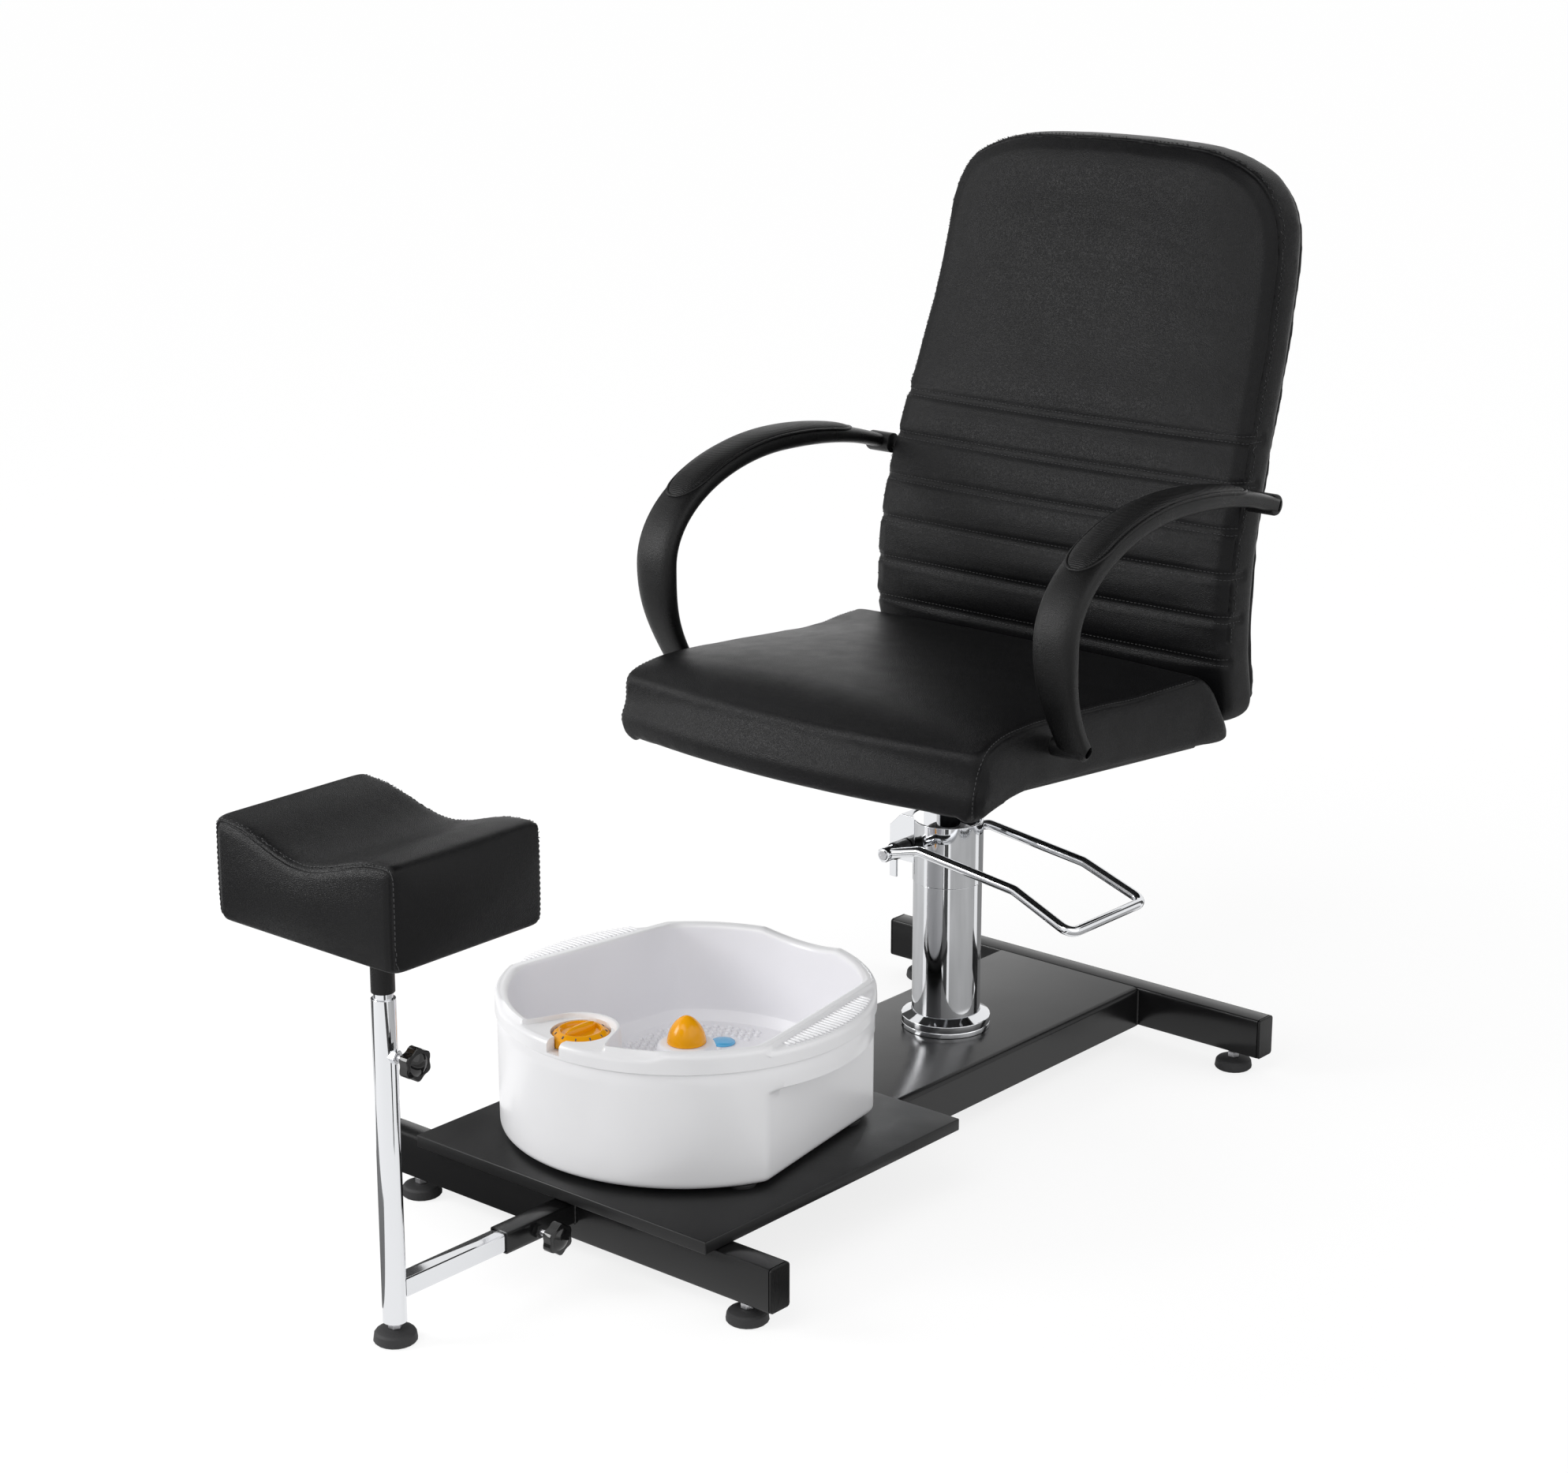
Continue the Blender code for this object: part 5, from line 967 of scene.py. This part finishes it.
def arm(side, name):
    rings = []
    for travel in np.linspace(0, 3, ARM_STEPS):
        spot, slope, normal, scale = arm_line(travel)
        rings.append(arm_section(side, spot, normal, scale))
    for travel, way, reach, radius, inset in ARM_ENDS:
        spot, slope, normal, scale = arm_line(travel)
        tip = []
        for share in ARM_TIP:
            centre = spot + slope * way * reach * share
            tip.append(arm_section(side, centre, normal, scale * sqrt(1 - share * share)))
        rings = tip[::-1] + rings if way < 0 else rings + tip
    loop = loft(f"arm_{name}_skin", rings)
    bosses, screws = [], []
    for travel, way, reach, radius, inset in ARM_ENDS:
        spot, slope, normal, scale = arm_line(travel)
        face = ARM_X + ARM_HALF_WIDTH * scale
        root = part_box(f"arm_{name}")[0 if side > 0 else 1].x * side + inset
        outer = face - BOSS_INSET

        def shaped(part, sides, *profile):
            profile = [(girth, side * depth) for girth, depth in profile]
            return turned(part, profile, (0, *spot), sides, "X")

        def well():
            return shaped("tool", 40, (WELL_RADIUS, outer - WELL_DEPTH), (WELL_RADIUS, face + 0.02))

        boss = shaped("boss", 48, (radius * 0.9, root), (radius, root + 0.001), (radius, outer - 0.003),
                      (radius - 0.0009, outer - 0.0009), (radius - 0.003, outer))
        cut(loop, well())
        bosses.append(cut(boss, well()))
        screw = shaped("screw", 32, (SCREW_RADIUS, outer - 0.0115), (SCREW_RADIUS, outer - 0.0030),
                       (SCREW_RADIUS - 0.0006, outer - 0.0023))
        socket = shaped("tool", 6, (SOCKET_RADIUS, outer - 0.006), (SOCKET_RADIUS, outer))
        screws.append(cut(screw, socket))
    place(shade(merged(f"arm_{name}_loop", [loop] + bosses), 40), "seat", "black_plastic", [f"arm_{name}"])
    place(shade(merged(f"arm_{name}_screws", screws), 30), "seat", "zinc")
    arm_pad(side, name)


def pad_half(share, scale):
    """Half width of the pad along its run: round at both ends like a tongue."""
    half = PAD_HALF_WIDTH * scale
    for run in (share, 1 - share):
        half = half * np.sqrt(1 - (1 - np.clip(run / PAD_TONGUE, 0, 1)) ** PAD_ROUNDNESS)
    return float(half)


def arm_top(across, scale):
    """Height of an arm's upper face over its middle line."""
    share = np.clip(np.abs(across) / (ARM_HALF_WIDTH * scale), 0, 1)
    return ARM_HALF_THICKNESS * scale * (1 - share ** ARM_SQUARENESS) ** (1 / ARM_SQUARENESS)


def arm_pad(side, name):
    rings = []
    borders = ([], [])
    angles = np.linspace(0, pi, 21)
    for share in np.linspace(0.0015, 0.9985, 90):
        spot, slope, normal, scale = arm_line(PAD_START + (PAD_END - PAD_START) * share)
        half = pad_half(share, scale)
        across = np.concatenate([half * np.cos(angles), half * np.linspace(-0.9, 0.9, 10)])
        fill = min(1.0, half / (PAD_HALF_WIDTH * scale))
        rise = PAD_RISE * fill * np.sin(angles) ** 0.55
        out = arm_top(across, scale) + np.concatenate([rise - 0.0004, np.full(10, -0.003)])
        rings.append(arm_ring(side, spot, normal, across, out))
        for border, way in zip(borders, (-1, 1)):
            reach = np.array([way * (half + BEAD_GAP)])
            border.append(arm_ring(side, spot, normal, reach, arm_top(reach, scale))[0])
    pad = shade(loft(f"arm_pad_{name}_skin", rings), 50)
    place(pad, "seat", "soft_black", [f"arm_pad_{name}"])
    path = resampled(np.array(borders[0] + borders[1][::-1]), 0.003, True)
    path = np.vstack([path, path[:2]])
    place(shade(sweep(f"arm_bead_{name}", path, BEAD_RADIUS, 12), 60), "seat", "black_plastic")


# Foot tub

ANGLES = around(TUB_SIDES)
DIAL_BEND = np.abs((ANGLES - 1.5 * pi + pi) % (2 * pi) - pi)  # angle from the dial


def at_angle(values, x, y):
    """That one of a ring's values which lies in the direction of a place."""
    return values[int(round(atan2(y, x) / (2 * pi) * TUB_SIDES)) % TUB_SIDES]


def flat_radius(distance):
    """Distance of the two hand holds from the tub's middle, at each angle."""
    radius = np.full(TUB_SIDES, OUT_OF_REACH)
    for middle in FLAT_ANGLES:
        lean = np.cos(ANGLES - middle)
        radius = np.where(lean > 0.2, np.minimum(radius, distance / np.maximum(lean, 0.2)), radius)
    return radius


def tub_loft(name, pairs):
    """Skin over rings, each given by its radius and height at every angle."""
    rings = np.empty((len(pairs), TUB_SIDES, 3))
    for ring, (radius, height) in zip(rings, pairs):
        ring[:, 0] = TUB_X + radius * np.cos(ANGLES)
        ring[:, 1] = TUB_Y + radius * np.sin(ANGLES)
        ring[:, 2] = height
    return loft(name, rings)


def tub_shell():
    foot = SHELL_LOW.z
    top = SHELL_HIGH.z
    radius = (SHELL_HIGH.y - SHELL_LOW.y) / 2 - SHELL_TAPER

    def wall(height, inner=0.0):
        share = (height - foot) / (top - foot)
        whole = radius + SHELL_TAPER * share - inner
        flat = smooth_min(whole, flat_radius(SHELL_FLAT - inner), 0.004)
        blend = ease((height - foot - SHELL_FLAT_TOP + 0.004) / 0.008)
        return flat * (1 - blend) + whole * blend

    pairs = [(CORE, foot)]
    for across, up in arc(-90, -70, -50, -30, -10):
        height = foot + SHELL_ROUND * (1 + up)
        pairs.append((wall(height) - SHELL_ROUND * (1 - across), height))
    hold = foot + SHELL_FLAT_TOP
    heights = [foot + rise for rise in (0.009, 0.03, 0.06)]
    heights += [hold + rise for rise in (-0.012, -0.004, -0.002, 0.0, 0.002, 0.004, 0.012)]
    pairs += [(wall(height), height) for height in heights + [top - 0.0012]]
    pairs.append((wall(top) - 0.0008, top))
    heights = (top, hold + 0.004, hold - 0.004, foot + 0.004)
    pairs += [(wall(height, SHELL_WALL), height) for height in heights]
    pairs.append((CORE, foot + 0.004))
    place(shade(tub_loft("tub_shell_skin", pairs), 40), "tub", "white_plastic", ["tub_shell"])


def mouth_radius():
    """Edge of the basin: round, with a flat on either side and the island of the dial."""
    edge = smooth_min(np.full(TUB_SIDES, BASIN_MOUTH), flat_radius(BASIN_FLAT), 0.010)
    away = TUB_Y - DIAL_Y
    across = away * np.sin(np.minimum(DIAL_BEND, pi / 2))
    island = away * np.cos(DIAL_BEND) - np.sqrt(np.maximum(DIAL_ISLAND ** 2 - across ** 2, 0))
    island += np.maximum(across - DIAL_ISLAND, 0) * 7
    island = np.where(DIAL_BEND < 0.6, island, OUT_OF_REACH)
    return smooth_min(edge, island, 0.012)


def lowered(radius, mouth=None):
    """Depth of the pouring dip, the hand holds and the dial's shelf under the rim, at each angle."""
    x = radius * np.cos(ANGLES)
    y = radius * np.sin(ANGLES)
    depth = np.where(y > 0, POUR_DEPTH * np.maximum(0, 1 - (x / POUR_HALF) ** 2), 0.0)
    if mouth is not None:
        turn = ease((SHELF_TURN - DIAL_BEND) / 0.12)
        depth = depth + SHELF_DROP * ease((radius - mouth - 0.0075) / 0.004) * turn
        for middle in FLAT_ANGLES:
            away = x * cos(middle) + y * sin(middle)
            depth = depth + GRIP_DROP * ease((away - BASIN_FLAT - GRIP_BEAD + 0.0015) / 0.003)
    return depth


def tub_basin():
    rim = BASIN_HIGH.z
    low = rim - BASIN_BAND
    floor = BASIN_FLOOR
    outer = (BASIN_HIGH.y - BASIN_LOW.y) / 2
    mouth = mouth_radius()
    lip = 0.0042 + 0.0026 * ease((mouth - BASIN_MOUTH + 0.006) / 0.006)
    foot = mouth - BASIN_DRAFT
    edge = foot - BASIN_FILLET
    corner = floor + BASIN_FILLET
    pairs = [(CORE, floor - BASIN_WALL), (edge, floor - BASIN_WALL), (foot + BASIN_WALL, corner),
             (mouth + BASIN_WALL, low), (outer - 0.0006, low), (outer, low + 0.0006)]
    drop = lowered(outer - BASIN_ROUND / 2, mouth)
    for share in (0.4, 0.8):
        height = low + (rim - BASIN_ROUND - low) * share
        pairs.append((outer, height - drop * (height - low) / (rim - low)))
    for across, up in arc(0, 18, 36, 54, 72, 90):
        radius = outer - BASIN_ROUND * (1 - across)
        pairs.append((radius, rim - BASIN_ROUND * (1 - up) - lowered(radius, mouth)))
    for share in np.linspace(0, 1, 30)[1:-1]:
        radius = (outer - BASIN_ROUND) * (1 - share) + (mouth + lip) * share
        pairs.append((radius, rim - lowered(radius, mouth)))
    drop = lowered(mouth + lip)
    for across, up in arc(90, 68, 45, 22, 0):
        pairs.append((mouth + lip * (1 - across), rim - lip * (1 - up) - drop))
    for share in (0.15, 0.4, 0.7, 1.0):
        height = rim - lip + (corner - rim + lip) * share
        pairs.append((mouth - BASIN_DRAFT * share, height - drop * (1 - share)))
    for across, up in arc(15, 30, 45, 60, 75, 90):
        pairs.append((foot - BASIN_FILLET * (1 - across), floor + BASIN_FILLET * (1 - up)))
    pairs += [(edge * (1 - share) + PEDESTAL_EDGE * share, floor) for share in (0.3, 0.6, 1.0)]
    pedestal = DOME_LOW.z - 0.0003
    pairs += [(radius, floor + height) for radius, height in PEDESTAL_FOOT]
    pairs += [(radius, pedestal - depth) for radius, depth in PEDESTAL_TOP]
    item = tub_loft("tub_basin_skin", pairs)
    pocket = [(DIAL_POCKET, rim - DIAL_DEPTH), (DIAL_POCKET, rim + 0.01)]
    cut(item, turned("tool", pocket, (TUB_X, DIAL_Y, 0), 120))
    cut(item, box_tool((TUB_X - DIAL_SLOT, TUB_Y - 0.3, rim - DIAL_DEPTH),
                       (TUB_X + DIAL_SLOT, DIAL_Y, rim + 0.01)))
    # Faces inside the mouth take the lilac-grey copy of the white plastic, painted shade; the rim and the
    # outside keep the white plastic
    place(shade(item, 38), "tub", "basin_plastic_painted_shade", ["tub_basin"], slot="white_plastic")
    item.data.materials.append(LOOKS["white_plastic"])
    for face in item.data.polygons:
        x = face.center.x - TUB_X
        y = face.center.y - TUB_Y
        face.material_index = 1 if hypot(x, y) > at_angle(mouth, x, y) + 0.0005 else 0
    tub_grips(rim, outer)
    tub_nubs(floor, edge)


def tub_grips(rim, outer):
    """Ribs across both hand holds."""
    ribs = []
    for side in (-1, 1):
        normal = np.array((side * cos(FLAT_ANGLE), sin(FLAT_ANGLE)))
        for step in range(-11, 17):
            y = step * RIB_PITCH
            inner = (BASIN_FLAT + GRIP_BEAD + 0.0035 - y * normal[1]) / normal[0]
            end = side * sqrt((outer - 0.0045) ** 2 - y * y)
            if (end - inner) * side < 0.007:
                continue
            xs = np.linspace(inner, end, len(RIB_RADII))
            line = [(TUB_X + x, TUB_Y + y, rim - GRIP_DROP + 0.0014) for x in xs]
            ribs.append(sweep("rib", line, RIB_RADII, 12))
    place(shade(merged("tub_ribs", ribs), 60), "tub", "white_plastic")


def tub_nubs(floor, edge):
    """Massage nubs over the floor, clear of the dome, the lens and the island."""
    lens = (LENS_LOW + LENS_HIGH) / 2
    nub = np.array([(radius * cos(turn), radius * sin(turn), height)
                    for radius, height in NUB_RINGS for turn in around(NUB_SIDES)])
    reach = range(-NUB_REACH, NUB_REACH + 1)
    nubs = []
    for row in reach:
        for column in reach:
            x = (column + 0.5 * (row % 2)) * NUB_PITCH
            y = row * NUB_PITCH * NUB_ROW
            away = hypot(x, y)
            if away < PEDESTAL_EDGE + 0.001 or away > at_angle(edge, x, y) - 0.010 or abs(x) < NUB_CLEAR:
                continue
            if hypot(x + TUB_X - lens.x, y + TUB_Y - lens.y) >= NUB_CLEAR:
                nubs.append(nub + (TUB_X + x, TUB_Y + y, floor))
    item = scattered("tub_nubs", nubs, NUB_SIDES)
    # The nubs take the basin's lilac-grey copy of the white plastic, painted shade
    place(shade(item, 60), "tub", "basin_plastic_painted_shade", slot="white_plastic")


def tub_fittings():
    tall = DOME_HIGH.z - DOME_LOW.z
    radius = (DOME_HIGH.x - DOME_LOW.x) / 2
    profile = [(radius - 0.0006, 0.0), (radius, 0.0006)]
    for share in (1 - np.linspace(1, 0, 26)[:-1] ** 1.6):
        profile.append((radius * (1 - share ** 1.75) ** 0.6, tall * (0.04 + 0.96 * share)))
    profile.append((0.0008, tall))
    dome = turned("tub_dome_skin", profile, (TUB_X, TUB_Y, DOME_LOW.z))
    place(shade(dome, 40), "tub", "orange_plastic", ["tub_dome"])

    low, high = LENS_LOW, LENS_HIGH
    radius = (high.x - low.x) / 2
    tall = high.z - low.z
    profile = [(radius, 0.0), (radius, tall * 0.3)]
    profile += [(radius * across, tall * (0.3 + 0.7 * up)) for across, up in arc(*range(15, 89, 8))]
    lens = turned("tub_lens_skin", profile, ((low.x + high.x) / 2, (low.y + high.y) / 2, low.z), 64)
    place(shade(lens, 50), "tub", "blue_lens", ["tub_lens"])


def tub_dial():
    """Dial with a sloping ring that carries plain marks, and a grip bar in its hollow."""
    base = DIAL_LOW.z
    radius = (DIAL_HIGH.x - DIAL_LOW.x) / 2
    inner = radius * 0.74
    tall = DIAL_HIGH.z - DIAL_LOW.z
    profile = [(radius - 0.0008, 0.0), (radius, 0.0008), (radius, tall * 0.48),
               (radius - 0.0010, tall * 0.53), (inner + 0.0010, tall * 0.76), (inner, tall * 0.765),
               (inner - 0.0012, tall * 0.73), (inner - 0.0028, tall * 0.60), (0.004, tall * 0.58)]
    dial = turned("dial", profile, (TUB_X, DIAL_Y, base), 120)
    rings = []
    turns = np.linspace(0, pi, 13)
    for share in np.linspace(-1, 1, 25):
        half = DIAL_BAR * sqrt(max(1 - share * share * 0.86, 0.02))
        x = TUB_X + half * np.cos(turns)
        y = np.full(13, DIAL_Y + share * (inner - 0.0015))
        z = base + tall * 0.55 + tall * 0.45 * np.sin(turns) ** 0.7 * (1 - 0.35 * share ** 4)
        rings.append(np.stack([x, y, z], 1))
    bar = loft("bar", rings)
    place(shade(merged("tub_dial_skin", [dial, bar]), 40), "tub_dial", "orange_plastic", ["tub_dial"])

    marks = []
    for step in range(DIAL_MARKS):
        turn = radians(step * 360 / DIAL_MARKS + 8)
        ends = []
        for share in (0.32, 0.72):
            away = inner + 0.0010 + (radius - 0.0020 - inner) * share
            rise = tall * (0.76 - 0.23 * share) + 0.0001
            ends.append((TUB_X + away * cos(turn), DIAL_Y + away * sin(turn), base + rise))
        wide = 0.0009 if step % 3 else 0.0006
        marks.append(sweep("mark", np.linspace(ends[0], ends[1], 3), wide, 8))
    place(shade(merged("tub_dial_marks", marks), 60), "tub_dial", "mark", slot="black_plastic")


# Pedal and welds

def pedal_bar():
    low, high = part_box("pedal_axle")
    x = (low.x + high.x) / 2
    z = (low.z + high.z) / 2
    low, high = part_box("pedal_bar")
    half = (high.y - low.y) / 2 - HUB_HALF
    corners = [(x + 0.004, 0.0, z + 0.001)]
    corners += [(place_x, spread, z + rise) for place_x, spread, rise in PEDAL_CORNERS]
    near = [(a, COLUMN_Y - half - spread, b) for a, spread, b in corners]
    far = [(a, COLUMN_Y + half + spread, b) for a, spread, b in corners]
    path = resampled([tuple(point) for point in rounded_path(near + far[::-1], PEDAL_BEND)], 0.003)
    pieces = [sweep("pedal_rod", path, PEDAL_RADIUS, 24)]
    for side in (-1, 1):
        centre = (x, COLUMN_Y + side * half, z)
        hub = turned("hub", HUB_PROFILE, centre, 48, "Y")
        bore = [(HUB_BORE, side * 0.005), (HUB_BORE, side * 0.02)]
        pieces.append(cut(hub, turned("tool", bore, centre, 40, "Y")))
    place(shade(merged("pedal_bar_skin", pieces), 40), "pedal", "chrome", ["pedal_bar"])


def weld(start, end, count, radius, wave):
    """Bead whose girth wanders a little."""
    girth = radius + wave * np.sin(np.arange(count) * 1.9)
    return sweep("bead", np.linspace(start, end, count), girth, 10)


def welds():
    beads = []
    for y in (BEAM_LOW.y + 0.0005, BEAM_HIGH.y - 0.0005):
        for x in (BEAM_LOW.x, BEAM_HIGH.x):
            beads.append(weld((x, y, BEAM_LOW.z + 0.002), (x, y, BEAM_HIGH.z - 0.003), 24, 0.0021, 0.0005))
    low, high = SLEEVE_LOW.z, SLEEVE_HIGH.z
    y = SLEEVE_HIGH.y - 0.0004
    for z in (low, high):
        beads.append(weld((-0.0115, y, z), (0.0115, y, z), 14, 0.0014, 0.0004))
    for x in (SLEEVE_LOW.x, -SLEEVE_LOW.x):
        beads.append(weld((x, y, low + 0.001), (x, y, high - 0.001), 14, 0.0014, 0.0004))
    place(shade(merged("weld_beads", beads), 60), "base", "black_powder_coat")


# Stage

def seen_directly(tree):
    """One for rays from the camera, a mirror or glass, nought for the rest."""
    path = tree.nodes.new("ShaderNodeLightPath")
    seen = path.outputs["Is Camera Ray"]
    for ray in ("Is Glossy Ray", "Is Transmission Ray"):
        either = tree.nodes.new("ShaderNodeMath")
        either.operation = "MAXIMUM"
        tree.links.new(seen, either.inputs[0])
        tree.links.new(path.outputs[ray], either.inputs[1])
        seen = either.outputs["Value"]
    return seen


def floor_material():
    material = bpy.data.materials.new("floor")
    material.use_nodes = True
    tree = material.node_tree
    tree.nodes.remove(tree.nodes["Principled BSDF"])
    surface = add_node(tree, "BsdfDiffuse", "BSDF", Color=(FLOOR_GREY, FLOOR_GREY, FLOOR_GREY, 1))
    glow = add_node(tree, "Emission", "Emission", Strength=FLOOR_GLOW)
    share = add_node(tree, "MapRange", "Result", Value=seen_directly(tree), To_Max=FLOOR_GLOW_SHARE)
    mix = tree.nodes.new("ShaderNodeMixShader")
    for index, source in enumerate((share, surface, glow)):
        tree.links.new(source, mix.inputs[index])
    tree.links.new(mix.outputs["Shader"], tree.nodes["Material Output"].inputs["Surface"])
    return material


def studio_world():
    world = bpy.data.worlds.new("studio")
    bpy.context.scene.world = world
    world.use_nodes = True
    tree = world.node_tree
    seen = seen_directly(tree)
    strength = add_node(tree, "MapRange", "Result", Value=seen, To_Min=WORLD_LIGHT, To_Max=1.0)
    background = tree.nodes["Background"].inputs
    background["Color"].default_value = (1, 1, 1, 1)
    tree.links.new(strength, background["Strength"])


def mirrored(name, corners, grey):
    """Card that only shiny surfaces show."""
    card = add_object(name, corners, [tuple(range(len(corners)))])
    dark = make_material(name, (grey,) * 3, 0.9)
    tint(dark, noise(dark, 3.0), (grey,) * 3, (grey * 1.2,) * 3)
    card.data.materials.append(dark)
    card.visible_camera = False
    card.visible_diffuse = False
    card.visible_shadow = False


def heading(turn, rise, away):
    level = away * cos(rise)
    return Vector((level * cos(turn), level * sin(turn), away * sin(rise)))


def rectangle(wide, tall):
    return [(x * wide / 2, y * tall / 2, 0) for x, y in ((-1, -1), (1, -1), (1, 1), (-1, 1))]


def stage():
    floor = add_object("floor", rectangle(2 * FLOOR_HALF, 2 * FLOOR_HALF), [(0, 1, 2, 3)])
    floor.data.materials.append(floor_material())
    studio_world()

    for name, azimuth, elevation, power, width in SUNS:
        lamp = bpy.data.lights.new(name, "SUN")
        lamp.energy = power
        lamp.angle = radians(width)
        sun = linked(bpy.data.objects.new(name, lamp))
        sun.rotation_euler = (radians(90 - elevation), 0, radians(azimuth))
    lamp = bpy.data.lights.new("softbox", "AREA")
    lamp.shape = "RECTANGLE"
    lamp.size, lamp.size_y = SOFTBOX_SIZE
    lamp.energy = SOFTBOX_POWER
    softbox = linked(bpy.data.objects.new("softbox", lamp))
    spot = heading(SOFTBOX_HEADING, SOFTBOX_ELEVATION, SOFTBOX_AWAY)
    softbox.location = spot + Vector((0, 0, SOFTBOX_LIFT))
    softbox.rotation_euler = spot.to_track_quat("Z", "Y").to_euler()

    for name, turn, rise, away, wide, tall, grey in CARDS:
        spot = heading(radians(turn), radians(rise), away)
        facing = spot.to_track_quat("Z", "Y").to_matrix().to_4x4()
        spin = Matrix.Translation(spot + Vector((0, COLUMN_Y, CARD_LIFT))) @ facing
        mirrored(name, [spin @ Vector(corner) for corner in rectangle(wide, tall)], grey)
    for name, first, last, near, far, grey in FLAGS:
        turns = np.radians(np.linspace(first, last, FLAG_STEPS))
        lift = np.full(FLAG_STEPS, FLAG_LIFT)
        inner, outer = (np.stack([away * np.cos(turns), COLUMN_Y + away * np.sin(turns), lift], 1)
                        for away in (near, far))
        mirrored(name, np.vstack([inner, outer[::-1]]), grey)

    camera = linked(bpy.data.objects.new("camera", bpy.data.cameras.new("camera")))
    camera.data.lens = CAMERA_LENS
    camera.data.sensor_width = CAMERA_SENSOR
    camera.location = CAMERA_PLACE
    camera.rotation_euler = (pi / 2 - CAMERA_ELEVATION, 0, CAMERA_AZIMUTH)
    bpy.context.scene.camera = camera
    bpy.context.scene.view_settings.view_transform = "Standard"


REBUILT = ("back_cushion", "back_panel", "seat_cushion", "footrest_cushion", "arm_left", "arm_right",
           "arm_pad_left", "arm_pad_right", "tub_shell", "tub_basin", "tub_dome", "tub_lens", "tub_dial",
           "pedal_bar")

stage()
for node in sorted(frame["nodes"]):
    if node not in REBUILT:
        dressed(node)
back_cushion()
back_panel()
seat_cushion()
footrest_cushion()
arm(1, "left")
arm(-1, "right")
tub_shell()
tub_basin()
tub_fittings()
tub_dial()
pedal_bar()
welds()
